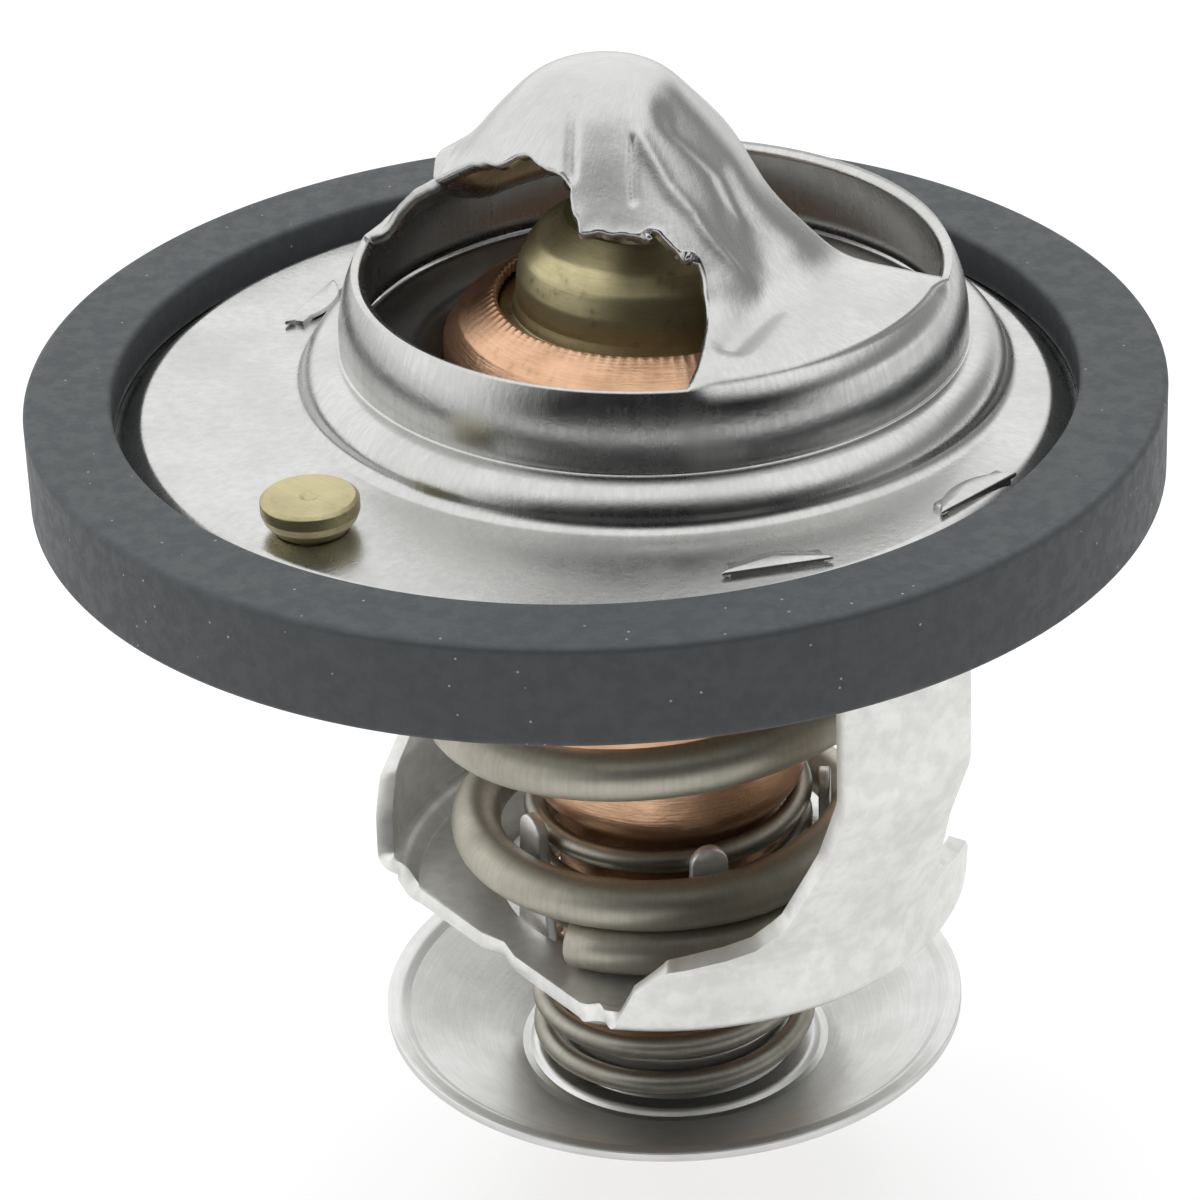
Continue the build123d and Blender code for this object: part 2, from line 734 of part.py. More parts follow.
def coil(turns, start_azimuth, foot, head, end_pitch, foot_radius, head_radius):
    """Points of a coil's middle line, with nearly flat end turns and an even pitch between.

    The radius widens from the foot's to the head's over the middle of the coil.
    """
    per_turn = 12
    rise = head - foot - 2 * closed_turns * end_pitch
    pitch = rise / (turns - 2 * closed_turns)
    points = []
    for i in range(round(turns * per_turn) + 1):
        turn = i / per_turn
        low = min(turn, closed_turns)
        high = max(turn - turns + closed_turns, 0)
        height = foot + (low + high) * end_pitch + (turn - low - high) * pitch
        widening = ease(turn, 0.2 * turns, 0.72 * turns)
        radius = foot_radius + (head_radius - foot_radius) * widening
        points.append((*polar(radius, start_azimuth + 360 * turn), height))
    return points


main_foot = floor_level + half_frame_sheet + seat_gap + main_wire / 2
main_head = valve_seat - 0.3 - half_valve_sheet - seat_gap - main_wire / 2
bypass_foot = seat_middle + half_disc + seat_gap + bypass_wire / 2
bypass_head = shoulder_low - bypass_wire / 2 + bypass_seat_rise

with BuildPart() as main_spring:
    with BuildLine() as main_path:
        Spline(
            *coil(
                main_turns,
                main_end_azimuth,
                main_foot,
                main_head,
                main_end_pitch,
                main_foot_radius,
                main_head_radius,
            )
        )
    with BuildSketch(Plane(origin=main_path.line @ 0, z_dir=main_path.line % 0)):
        Circle(main_wire / 2)
    sweep(is_frenet=True)
save(main_spring, "main_spring")

with BuildPart() as bypass_spring:
    with BuildLine() as bypass_path:
        Spline(
            *coil(
                bypass_turns,
                bypass_end_azimuth,
                bypass_foot,
                bypass_head,
                bypass_end_pitch,
                bypass_mean_radius,
                bypass_mean_radius,
            )
        )
    with BuildSketch(Plane(origin=bypass_path.line @ 0, z_dir=bypass_path.line % 0)):
        Circle(bypass_wire / 2)
    sweep(is_frenet=True)
save(bypass_spring, "bypass_spring")
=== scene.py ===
# %% [markdown]
# # An engine thermostat, piece by piece
# A wax-filled copper cup pushes itself down a fixed rod when the coolant is hot, and carries the
# main valve away from its seat.  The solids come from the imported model.  Each piece that shows
# is worked out again here as a smooth surface, and then gets a finish of its own.

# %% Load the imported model
import json
from math import cos, pi, radians, sin

import bmesh
import bpy
import numpy as np
from mathutils import Matrix, Vector

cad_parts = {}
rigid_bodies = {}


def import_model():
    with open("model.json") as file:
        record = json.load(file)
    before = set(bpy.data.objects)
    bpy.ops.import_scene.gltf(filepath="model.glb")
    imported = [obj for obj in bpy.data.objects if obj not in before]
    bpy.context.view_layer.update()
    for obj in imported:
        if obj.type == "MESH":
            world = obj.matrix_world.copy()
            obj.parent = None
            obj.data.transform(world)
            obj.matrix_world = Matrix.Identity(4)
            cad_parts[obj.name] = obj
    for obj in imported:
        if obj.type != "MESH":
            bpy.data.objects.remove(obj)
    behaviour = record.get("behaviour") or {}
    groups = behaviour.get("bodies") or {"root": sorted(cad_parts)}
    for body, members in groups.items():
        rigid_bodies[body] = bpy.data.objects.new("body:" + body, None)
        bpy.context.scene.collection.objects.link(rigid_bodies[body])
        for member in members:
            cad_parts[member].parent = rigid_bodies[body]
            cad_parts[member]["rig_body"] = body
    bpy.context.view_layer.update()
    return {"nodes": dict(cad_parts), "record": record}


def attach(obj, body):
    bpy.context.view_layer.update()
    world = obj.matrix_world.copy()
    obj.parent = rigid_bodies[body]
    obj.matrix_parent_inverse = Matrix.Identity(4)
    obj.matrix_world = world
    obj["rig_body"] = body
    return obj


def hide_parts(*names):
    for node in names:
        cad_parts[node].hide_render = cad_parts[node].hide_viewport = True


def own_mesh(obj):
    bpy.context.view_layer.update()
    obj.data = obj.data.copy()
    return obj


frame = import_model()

nodes = frame["nodes"]
MM = 0.001

# %% [markdown]
# ## Profiles
# Turned and pressed parts are a profile carried round an axis.  A profile is drawn as a few
# corners, and each corner is replaced by an arc that touches both its lines, so one helper
# serves every pressed bend and every broken edge.


# %% Helpers for profiles
def unit(vectors):
    """Vectors divided by their lengths; a vector of no length stays as it is."""
    length = np.linalg.norm(vectors, axis=-1, keepdims=True)
    return vectors / np.where(length > 1e-12, length, 1)


def rounded(corners, radii, closed=True, per_arc=7, step=0.5):
    """Each corner becomes an arc of its radius r, tangent to both of its lines.

    With half the inside angle h, the arc's centre lies r / sin h along the bisector, and it
    touches the lines r / tan h from the corner.
    """
    corners = np.asarray(corners, float)
    radii = np.broadcast_to(np.asarray(radii, float), len(corners)).copy()
    if not closed:
        radii[[0, -1]] = 0
    to_before = unit(np.roll(corners, 1, 0) - corners)
    to_after = unit(np.roll(corners, -1, 0) - corners)
    cosine = np.clip((to_before * to_after).sum(1), -0.9999, 0.9999)
    half = (np.arccos(cosine) / 2)[:, None]
    radii = radii[:, None]
    center = corners + unit(to_before + to_after) * radii / np.sin(half)
    start = corners + to_before * radii / np.tan(half) - center
    end = corners + to_after * radii / np.tan(half) - center
    sweep = (pi - 2 * half)[:, None]
    share = np.linspace(0, 1, per_arc)[None, :, None]
    arcs = np.sin((1 - share) * sweep) * start[:, None] + np.sin(share * sweep) * end[:, None]
    points = (center[:, None] + arcs / np.sin(sweep)).reshape(-1, 2)
    return spaced(points, closed, step)


def spaced(points, closed, step=0.5):
    """Points with repeats dropped, and long runs cut so that no run is over the step."""
    points = np.asarray(points, float)
    if closed:
        points = np.vstack([points, points[:1]])
    points = points[np.r_[True, np.linalg.norm(np.diff(points, axis=0), axis=1) > 1e-5]]
    runs = np.linalg.norm(np.diff(points, axis=0), axis=1)
    along = np.r_[0, np.cumsum(runs)]
    pieces = [np.linspace(a, b, max(1, int(np.ceil((b - a) / step))), endpoint=False)
              for a, b in zip(along[:-1], along[1:])]
    where = np.concatenate(pieces + ([] if closed else [along[-1:]]))
    return np.stack([np.interp(where, along, points[:, i]) for i in (0, 1)], 1)


def ease(value, low, high):
    """Smooth step from 0 below low to 1 above high."""
    share = np.clip((value - low) / (high - low), 0, 1)
    return share * share * (3 - 2 * share)


def arc3(start, middle, end, count=16):
    """An arc through three points: the circle's centre is equally far from all three."""
    start, middle, end = (np.asarray(p, float) for p in (start, middle, end))
    rows = 2 * np.array([middle - start, end - start])
    sides = [middle @ middle - start @ start, end @ end - start @ start]
    center = np.linalg.solve(rows, sides)
    radius = np.linalg.norm(start - center)
    angles = [np.arctan2(*(p - center)[::-1]) for p in (start, middle, end)]
    angles = np.unwrap(angles)
    turn = np.linspace(angles[0], angles[2], count)
    return center + radius * np.stack([np.cos(turn), np.sin(turn)], 1)


def band(line, thickness):
    """Outline of a sheet: its middle line, moved half a thickness to each side."""
    normal = unit(np.gradient(line, axis=0))[:, ::-1] * (1, -1)
    side = normal * thickness / 2
    return np.vstack([line + side, (line - side)[::-1]])


print("profile of a test corner:", len(rounded([(0, 0), (4, 0), (4, 3)], 0.5)), "points")

# %% [markdown]
# ## From numbers to meshes
# A mesh here is one or more grids of points.  Rows of neighbouring points are joined into
# four-sided faces by index arithmetic.  Points that fall on each other, at a seam or a pole, are
# merged, and a closed shell is then told to face outwards.


# %% Helpers for meshes
def grid_faces(rows, columns, wrap_rows=False, wrap_columns=False):
    """Corner numbers of the faces of a grid whose points are numbered row by row."""
    last_row = rows if wrap_rows else rows - 1
    last_column = columns if wrap_columns else columns - 1
    i, j = np.meshgrid(np.arange(last_row), np.arange(last_column), indexing="ij")
    below, beside = (i + 1) % rows, (j + 1) % columns
    here, under = i * columns, below * columns
    return np.stack((here + j, here + beside, under + beside, under + j), -1).reshape(-1, 4)


def shell(name, parts, closed=True):
    """A mesh object from (points, faces) parts, in millimetres, with doubles merged."""
    offsets = np.cumsum([0] + [len(points) for points, _ in parts])
    points = np.vstack([points for points, _ in parts]) * MM
    faces = np.vstack([faces + shift for (_, faces), shift in zip(parts, offsets)])
    mesh = bpy.data.meshes.new(name)
    mesh.from_pydata(points.tolist(), [], faces.tolist())
    work = bmesh.new()
    work.from_mesh(mesh)
    bmesh.ops.remove_doubles(work, verts=work.verts, dist=2e-7)
    bmesh.ops.dissolve_degenerate(work, dist=1e-8, edges=work.edges)
    if closed:
        bmesh.ops.recalc_face_normals(work, faces=work.faces)
    work.to_mesh(mesh)
    work.free()
    mesh.polygons.foreach_set("use_smooth", np.ones(len(mesh.polygons), bool))
    piece = bpy.data.objects.new(name, mesh)
    bpy.context.scene.collection.objects.link(piece)
    print(name, len(mesh.polygons), "faces")
    return piece


def lathe(outline, center=(0, 0), segments=240, ripple=None):
    """Points and faces of an outline (r, z) turned once round a vertical axis.

    The point at angle a is (centre + r cos a, centre + r sin a, z).  ripple may change r and z.
    """
    angle = np.linspace(0, 2 * pi, segments, endpoint=False)[:, None]
    radius, height = (np.broadcast_to(outline[:, i], (segments, len(outline))) for i in (0, 1))
    if ripple:
        radius, height = ripple(angle, radius, height)
    x = center[0] + radius * np.cos(angle)
    y = center[1] + radius * np.sin(angle)
    points = np.stack([x, y, height + 0 * angle], -1).reshape(-1, 3)
    return points, grid_faces(segments, len(outline), wrap_rows=True, wrap_columns=True)


def wire(path, radius, sides=24):
    """Points and faces of a round wire along a path, with broken edges at its square ends.

    Round each point the wire's circle lies across the path: radius times
    (outward cos a + upward sin a), where outward is level and points away from the axis.
    """
    along = unit(np.gradient(path, axis=0))
    outward = unit(path * (1, 1, 0))
    upward = unit(np.cross(along, outward))
    outward = np.cross(upward, along)
    ends = np.array([0, 0.88, 1.0])
    depth = radius * np.array([0, 0, 0.12])
    first = path[0] + along[0] * depth[:, None]
    last = path[-1] - along[-1] * depth[::-1, None]
    rows = np.vstack([first, path[2:-2], last])
    size = radius * np.r_[ends, np.ones(len(path) - 4), ends[::-1]]
    pick = np.r_[[0] * 3, np.arange(2, len(path) - 2), [len(path) - 1] * 3]
    angle = np.linspace(0, 2 * pi, sides, endpoint=False)[None, :, None]
    across = outward[pick, None] * np.cos(angle) + upward[pick, None] * np.sin(angle)
    points = rows[:, None] + size[:, None, None] * across
    return points.reshape(-1, 3), grid_faces(len(rows), sides, wrap_columns=True)


def bevel(piece, width, angle=35, segments=2):
    """Breaks the edges that turn by more than the angle, in degrees."""
    step = piece.modifiers.new("broken_edges", "BEVEL")
    step.width = width * MM
    step.segments = segments
    step.limit_method = "ANGLE"
    step.angle_limit = radians(angle)
    step.harden_normals = False


def thicken(piece, thickness, offset=-1, even=True):
    """Gives an open surface the thickness of its sheet."""
    step = piece.modifiers.new("sheet", "SOLIDIFY")
    step.thickness = thickness * MM
    step.offset = offset
    step.use_even_offset = even
    step.use_quality_normals = True


# %% [markdown]
# ## Finishes
# Bare metal is mostly what it mirrors, so each metal gets a tint, a roughness that varies in
# patches, and a very fine relief.  What several metals share is built once as a node group:
# drawn or turned lines, patches of tarnish, and specks of dust.


# %% Helpers for node groups
def new_group(name, inputs, outputs):
    """A shader node group with number or vector inputs and outputs."""
    tree = bpy.data.node_groups.new(name, "ShaderNodeTree")
    for label, kind, value in inputs:
        socket = tree.interface.new_socket(label, in_out="INPUT", socket_type=kind)
        if value is not None:
            socket.default_value = value
    for label, kind in outputs:
        tree.interface.new_socket(label, in_out="OUTPUT", socket_type=kind)
    return tree, tree.nodes.new("NodeGroupInput"), tree.nodes.new("NodeGroupOutput")


def add(tree, kind, **settings):
    """A node of a kind, with its settings; a setting named after an input sets that input."""
    node = tree.nodes.new(kind)
    for key, value in settings.items():
        if hasattr(node, key):
            setattr(node, key, value)
        else:
            node.inputs[key.replace("_", " ")].default_value = value
    return node


def math(tree, operation, first, second=None, third=None):
    """A Math node fed with numbers or sockets, and its result."""
    node = tree.nodes.new("ShaderNodeMath")
    node.operation = operation
    for place, value in enumerate((first, second, third)):
        if isinstance(value, (int, float)):
            node.inputs[place].default_value = value
        elif value is not None:
            tree.links.new(value, node.inputs[place])
    return node.outputs[0]


def blend_values(tree, first, first_share, second, second_share):
    """The sum of two values, each times its share."""
    return math(tree, "ADD", math(tree, "MULTIPLY", first, first_share),
                math(tree, "MULTIPLY", second, second_share))


def stretch(tree, value, low, high, to_low=0.0, to_high=1.0):
    """A smooth step: value from low to high becomes to_low to to_high."""
    node = add(tree, "ShaderNodeMapRange", interpolation_type="SMOOTHSTEP")
    for place, number in zip((1, 2, 3, 4), (low, high, to_low, to_high)):
        if isinstance(number, (int, float)):
            node.inputs[place].default_value = number
        else:
            tree.links.new(number, node.inputs[place])
    tree.links.new(value, node.inputs[0])
    return node.outputs[0]


def noise(tree, vector, scale, detail=3.0, roughness=0.55):
    """A cloud of soft noise about 0.5, read at a vector."""
    node = tree.nodes.new("ShaderNodeTexNoise")
    node.inputs["Detail"].default_value = detail
    node.inputs["Roughness"].default_value = roughness
    if isinstance(scale, (int, float)):
        node.inputs["Scale"].default_value = scale
    else:
        tree.links.new(scale, node.inputs["Scale"])
    tree.links.new(vector, node.inputs["Vector"])
    return node.outputs["Fac"]


def shared_groups():
    """The effects that several finishes use."""
    number, vector = "NodeSocketFloat", "NodeSocketVector"

    patches, source, out = new_group(
        "patches",
        [("Scale", number, 300.0), ("Low", number, 0.4), ("High", number, 0.65)],
        [("Mask", number)],
    )
    place = add(patches, "ShaderNodeTexCoord").outputs["Object"]
    cloud = noise(patches, place, source.outputs["Scale"], 5.0, 0.6)
    mask = stretch(patches, cloud, source.outputs["Low"], source.outputs["High"])
    patches.links.new(mask, out.inputs["Mask"])

    # Lines left by turning or drawing: noise of the distance from an axis and of the height.
    rings, source, out = new_group(
        "turned_lines",
        [("Center", vector, (0, 0, 0)), ("Fineness", number, 9000.0)],
        [("Lines", number)],
    )
    place = add(rings, "ShaderNodeTexCoord").outputs["Object"]
    away = add(rings, "ShaderNodeVectorMath", operation="SUBTRACT")
    rings.links.new(place, away.inputs[0])
    rings.links.new(source.outputs["Center"], away.inputs[1])
    split = add(rings, "ShaderNodeSeparateXYZ")
    rings.links.new(away.outputs[0], split.inputs[0])
    squares = [math(rings, "MULTIPLY", split.outputs[i], split.outputs[i]) for i in (0, 1)]
    radius = math(rings, "SQRT", math(rings, "ADD", *squares))
    turn = math(rings, "ARCTAN2", split.outputs[1], split.outputs[0])
    spot = add(rings, "ShaderNodeCombineXYZ")
    rings.links.new(radius, spot.inputs[0])
    rings.links.new(math(rings, "MULTIPLY", turn, 0.0004), spot.inputs[1])
    rings.links.new(split.outputs[2], spot.inputs[2])
    lines = noise(rings, spot.outputs[0], source.outputs["Fineness"], 2.0, 0.7)
    rings.links.new(lines, out.inputs["Lines"])

    # Lines drawn up the sheet by the punch: noise of the angle round the axis.
    drawn, source, out = new_group(
        "drawn_lines",
        [("Count", number, 150.0), ("Twist", number, 20.0)],
        [("Lines", number)],
    )
    place = add(drawn, "ShaderNodeTexCoord").outputs["Object"]
    split = add(drawn, "ShaderNodeSeparateXYZ")
    drawn.links.new(place, split.inputs[0])
    squares = [math(drawn, "MULTIPLY", split.outputs[i], split.outputs[i]) for i in (0, 1)]
    reach = math(drawn, "MAXIMUM", math(drawn, "SQRT", math(drawn, "ADD", *squares)), 1e-5)
    spot = add(drawn, "ShaderNodeCombineXYZ")
    drawn.links.new(math(drawn, "DIVIDE", split.outputs[0], reach), spot.inputs[0])
    drawn.links.new(math(drawn, "DIVIDE", split.outputs[1], reach), spot.inputs[1])
    drawn.links.new(math(drawn, "MULTIPLY", reach, source.outputs["Twist"]), spot.inputs[2])
    lines = noise(drawn, spot.outputs[0], source.outputs["Count"], 3.0, 0.6)
    drawn.links.new(lines, out.inputs["Lines"])

    specks, source, out = new_group(
        "dust_specks",
        [("Scale", number, 1500.0), ("Size", number, 0.12)],
        [("Mask", number)],
    )
    place = add(specks, "ShaderNodeTexCoord").outputs["Object"]
    cells = add(specks, "ShaderNodeTexVoronoi", feature="F1")
    specks.links.new(place, cells.inputs["Vector"])
    specks.links.new(source.outputs["Scale"], cells.inputs["Scale"])
    rare = math(specks, "GREATER_THAN", cells.outputs["Color"], 0.72)
    near = math(specks, "LESS_THAN", cells.outputs["Distance"], source.outputs["Size"])
    specks.links.new(math(specks, "MULTIPLY", rare, near), out.inputs["Mask"])
    return {"patches": patches, "rings": rings, "drawn": drawn, "specks": specks}


GROUPS = shared_groups()
print("node groups:", sorted(GROUPS))


# %% The metals
def use(tree, group, **values):
    """One of the shared groups, placed in a material with its own values."""
    node = tree.nodes.new("ShaderNodeGroup")
    node.node_tree = GROUPS[group]
    for key, value in values.items():
        node.inputs[key].default_value = value
    return node.outputs[0]


def mix_color(tree, mask, first, second):
    """Two colours mixed by a mask; a colour may be a socket."""
    node = add(tree, "ShaderNodeMix", data_type="RGBA")
    tree.links.new(mask, node.inputs[0])
    for place, color in ((6, first), (7, second)):
        if isinstance(color, tuple):
            node.inputs[place].default_value = (*color, 1)
        else:
            tree.links.new(color, node.inputs[place])
    return node.outputs[2]


def start_material(name):
    """An empty material and its Principled shader."""
    material = bpy.data.materials.new(name)
    material.use_nodes = True
    tree = material.node_tree
    shader = tree.nodes["Principled BSDF"]
    return material, tree, shader


def metal(name, bright, dull, rough=(0.22, 0.38), patch=(260.0, 0.4, 0.62),
          lines=("rings", {"Fineness": 9000.0}), depth=0.00001, stain=None, grain=2600.0,
          metallic=1.0):
    """A bare metal: a bright and a dull tone in patches, fine lines, and a slight relief."""
    material, tree, shader = start_material(name)
    shader.inputs["Metallic"].default_value = metallic
    cloud = use(tree, "patches", Scale=patch[0], Low=patch[1], High=patch[2])
    trace = use(tree, lines[0], **lines[1])
    tone = mix_color(tree, cloud, bright, dull)
    shade = stretch(tree, trace, 0.25, 0.75, 0.0, 0.22)
    tone = mix_color(tree, shade, tone, tuple(0.6 * c for c in dull))
    if stain:
        spots = use(tree, "patches", Scale=stain[0], Low=stain[1], High=stain[2])
        tone = mix_color(tree, spots, tone, stain[3])
    tree.links.new(tone, shader.inputs["Base Color"])
    mixed = blend_values(tree, cloud, 0.6, trace, 0.4)
    tree.links.new(stretch(tree, mixed, 0.1, 0.9, *rough), shader.inputs["Roughness"])
    fine = use(tree, "patches", Scale=grain, Low=0.3, High=0.7)
    relief = blend_values(tree, trace, 0.6, fine, 0.4)
    bump = add(tree, "ShaderNodeBump", Strength=0.6, Distance=depth)
    tree.links.new(relief, bump.inputs["Height"])
    tree.links.new(bump.outputs[0], shader.inputs["Normal"])
    return material


DRAWN = ("drawn", {"Count": 60.0, "Twist": 30.0})
finishes = {
    "flange_steel": metal("satin_pressed_steel", (0.66, 0.66, 0.645), (0.57, 0.57, 0.56),
                          rough=(0.2, 0.34), patch=(170.0, 0.2, 0.8), lines=DRAWN,
                          depth=0.000012),
    "frame_steel": metal("matt_plated_steel", (0.88, 0.88, 0.86), (0.78, 0.78, 0.75),
                         rough=(0.36, 0.5), patch=(200.0, 0.25, 0.75),
                         lines=("patches", {"Scale": 900.0, "Low": 0.1, "High": 0.9}),
                         depth=0.00002, grain=1400.0, metallic=0.9),
    "rod_steel": metal("polished_rod", (0.75, 0.75, 0.75), (0.6, 0.6, 0.6), rough=(0.12, 0.22)),
    "spring_steel": metal("drawn_spring_wire", (0.52, 0.50, 0.42), (0.42, 0.40, 0.335),
                          rough=(0.42, 0.55), patch=(300.0, 0.2, 0.8), lines=DRAWN,
                          depth=0.000008),
    "bypass_wire": metal("drawn_thin_wire", (0.52, 0.50, 0.43), (0.42, 0.40, 0.345),
                         rough=(0.36, 0.5), patch=(300.0, 0.2, 0.8), lines=DRAWN,
                         depth=0.000006),
    "valve_steel": metal("satin_valve_steel", (0.42, 0.42, 0.41), (0.34, 0.34, 0.33),
                         rough=(0.34, 0.46), patch=(200.0, 0.2, 0.8)),
    "disc_steel": metal("bright_disc_steel", (0.80, 0.80, 0.785), (0.68, 0.68, 0.665),
                        rough=(0.28, 0.38), patch=(220.0, 0.2, 0.8), depth=0.000012),
    "ring_steel": metal("ring_steel", (0.5, 0.49, 0.47), (0.38, 0.37, 0.36)),
    "copper": metal("copper", (0.86, 0.55, 0.36), (0.70, 0.42, 0.26), rough=(0.3, 0.44),
                    patch=(330.0, 0.25, 0.75), depth=0.00004,
                    stain=(500.0, 0.6, 0.8, (0.40, 0.25, 0.13)), grain=1500.0),
    "brass": metal("turned_brass", (0.62, 0.55, 0.32), (0.46, 0.41, 0.24), rough=(0.36, 0.48),
                   patch=(300.0, 0.25, 0.75), depth=0.000012,
                   stain=(600.0, 0.58, 0.8, (0.17, 0.14, 0.075))),
}
print("metals:", len(finishes))


# %% Rubber, plastic and wax
def soft_finish(name, color, other, rough, specks=None, scale=500.0, depth=0.00002):
    """A matt stuff: two near colours in patches, and pale specks where dust clings to it."""
    material, tree, shader = start_material(name)
    cloud = use(tree, "patches", Scale=scale, Low=0.35, High=0.65)
    tone = mix_color(tree, cloud, color, other)
    if specks:
        dots = use(tree, "specks", Scale=specks[0], Size=specks[1])
        tone = mix_color(tree, dots, tone, specks[2])
    tree.links.new(tone, shader.inputs["Base Color"])
    tree.links.new(stretch(tree, cloud, 0.0, 1.0, *rough), shader.inputs["Roughness"])
    fine = use(tree, "patches", Scale=4.0 * scale, Low=0.3, High=0.7)
    bump = add(tree, "ShaderNodeBump", Strength=0.5, Distance=depth)
    tree.links.new(fine, bump.inputs["Height"])
    tree.links.new(bump.outputs[0], shader.inputs["Normal"])
    return material


finishes["rubber"] = soft_finish(
    "moulded_rubber", (0.030, 0.034, 0.037), (0.027, 0.031, 0.034), (0.5, 0.6),
    specks=(1600.0, 0.1, (0.2, 0.2, 0.195)), scale=1200.0, depth=0.000012,
)
finishes["white_plastic"] = soft_finish(
    "white_plastic", (0.82, 0.81, 0.77), (0.76, 0.75, 0.71), (0.35, 0.5))
finishes["wax"] = soft_finish("filled_wax", (0.66, 0.48, 0.30), (0.55, 0.38, 0.24), (0.5, 0.7))

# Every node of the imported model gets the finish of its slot, also where it is hidden later.
slot_of = {part["node"]: part["material_slot"] for part in frame["record"]["subparts"]}
for name, node in nodes.items():
    node.data.materials.clear()
    node.data.materials.append(finishes[slot_of[name]])


def fit(piece, node, stands_for=True):
    """Gives a new piece the body, slot and finish of the node that it belongs to."""
    piece.data.materials.append(finishes[slot_of[node]])
    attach(piece, nodes[node]["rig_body"])
    if stands_for:
        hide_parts(node)


print("finishes:", len(finishes))

# %% [markdown]
# ## The rubber ring
# A moulded ring with square sides and small rounded corners.  It grips the flange's rim in a
# groove, so its outline has the groove too, and the outline is turned about the ring's own
# centre, which lies off the valve's axis.

# %% Rubber ring
RUBBER_TOP = 42.1
RING_BORE = 23.7
RING_CENTER = (-3.0, -2.3)
RIM_TOP = 39.85
groove = (RIM_TOP - 0.8, RIM_TOP + 0.05)
ring_outline = rounded(
    [(RING_BORE, 37.0), (28.0, 37.0), (28.0, RUBBER_TOP), (RING_BORE, RUBBER_TOP),
     (RING_BORE, groove[1]), (25.65, groove[1]), (25.65, groove[0]), (RING_BORE, groove[0])],
    [0.3, 0.35, 0.35, 0.3, 0.12, 0.05, 0.05, 0.12],
)
rubber_ring = shell("rubber_ring", [lathe(ring_outline, RING_CENTER, 300)])
fit(rubber_ring, "seal_ring")

# %% [markdown]
# ## The flange, its beaded dome and the bridge
# One pressing.  The flat is a ring between two circles with different centres, so its points
# are spaced evenly along each ray from the valve's axis, between the two.  The dome is a
# profile of arcs.  The bridge is what two windows leave of a drawn bell, with one clean edge
# and one that tore in the press.  Its plan is a Coons patch: it blends its four edges, and its
# height is the bell's.

# %% Flat and dome
FLANGE_TOP = 41.0
DOME_FOOT = 18.1
WALL_END = (14.7, 46.9)
FOOT_ANGLES = ((36, -35), (144, 215))     # degrees from the bridge's line, clean edge to torn
BRIDGE_TURN = -50
RAYS = 360
ray = np.arange(RAYS) * 2 * pi / RAYS
ray_x, ray_y = np.cos(ray), np.sin(ray)


def reach_of_ring(radius):
    """Distance from the valve's axis, along each ray, to a circle about the ring's centre."""
    along = RING_CENTER[0] * ray_x + RING_CENTER[1] * ray_y
    return along + np.sqrt(radius**2 - RING_CENTER[0] ** 2 - RING_CENTER[1] ** 2 + along**2)


rim_line = rounded(
    [(25.5, RIM_TOP), (23.45, RIM_TOP), (22.3, FLANGE_TOP), (22.0, FLANGE_TOP)],
    [0, 0.5, 0.6, 0], closed=False,
)
dome_line = np.vstack([
    arc3((DOME_FOOT, FLANGE_TOP), (17.64, 41.19), (17.45, 41.65), 7),
    arc3((17.45, 41.65), (16.8, 42.55), (15.5, 42.9), 16)[1:],
    arc3((15.5, 42.9), (15.4, 45.0), WALL_END, 26)[1:],
])


def foot_pull(degrees_from_bridge):
    """How much a foot of the bridge rounds the top of the wall inwards: 0 at its corners."""
    off = np.zeros_like(degrees_from_bridge, dtype=float)
    for first, last in FOOT_ANGLES:
        middle = (first + last) / 2
        away = np.abs((degrees_from_bridge - middle + 180) % 360 - 180)
        off = off + ease(abs(first - last) / 2 - away, 0, 6)
    return 0.35 * off


pull = foot_pull(np.arange(RAYS) - BRIDGE_TURN)
rim_rows = [(reach_of_ring(radius), height) for radius, height in rim_line]
flat_shares = np.linspace(0, 1, 12)[1:-1]
flat_rows = [((1 - s) * rim_rows[-1][0] + s * DOME_FOOT, FLANGE_TOP) for s in flat_shares]
dome_rows = [(radius - pull * np.clip((height - 45.9) / 1.0, 0, 1) ** 2, height)
             for radius, height in dome_line]
rows = rim_rows + flat_rows + dome_rows
press = np.stack([np.stack([r * ray_x, r * ray_y, 0 * r + z], -1) for r, z in rows])
flat_and_dome = (press.reshape(-1, 3), grid_faces(len(rows), RAYS, wrap_columns=True))

# The jiggle pin's hole: faces inside its circle go, and the points left inside move out to it.
PIN_CENTER = np.array([-16.5, -15.8])
PIN_HOLE = 1.5
away = flat_and_dome[0][:, :2] - PIN_CENTER
distance = np.linalg.norm(away, axis=1)
kept = ~(distance[flat_and_dome[1]] < PIN_HOLE).all(1)
push = np.where(distance < PIN_HOLE, PIN_HOLE, distance) / np.maximum(distance, 1e-6)
flat_and_dome[0][:, :2] = PIN_CENTER + away * push[:, None]
flat_and_dome = (flat_and_dome[0], flat_and_dome[1][kept])
print("rows of the pressing:", len(rows))

# %% The bell's height
BELL_LEAN = 2.25
BRIDGE_HEIGHT = 16.05
bell_shares = np.array([                  # of the height, of the foot's radius, of the lean
    (0, 1, 0), (0.015, 0.976, 0), (0.026, 0.942, 0), (0.05, 0.873, 0), (0.118, 0.693, 0.19),
    (0.248, 0.618, 0.55), (0.425, 0.553, 1), (0.621, 0.438, 1), (0.797, 0.332, 1),
    (0.935, 0.233, 0.97), (0.99, 0.134, 0.94), (1, 0, 0.93),
])


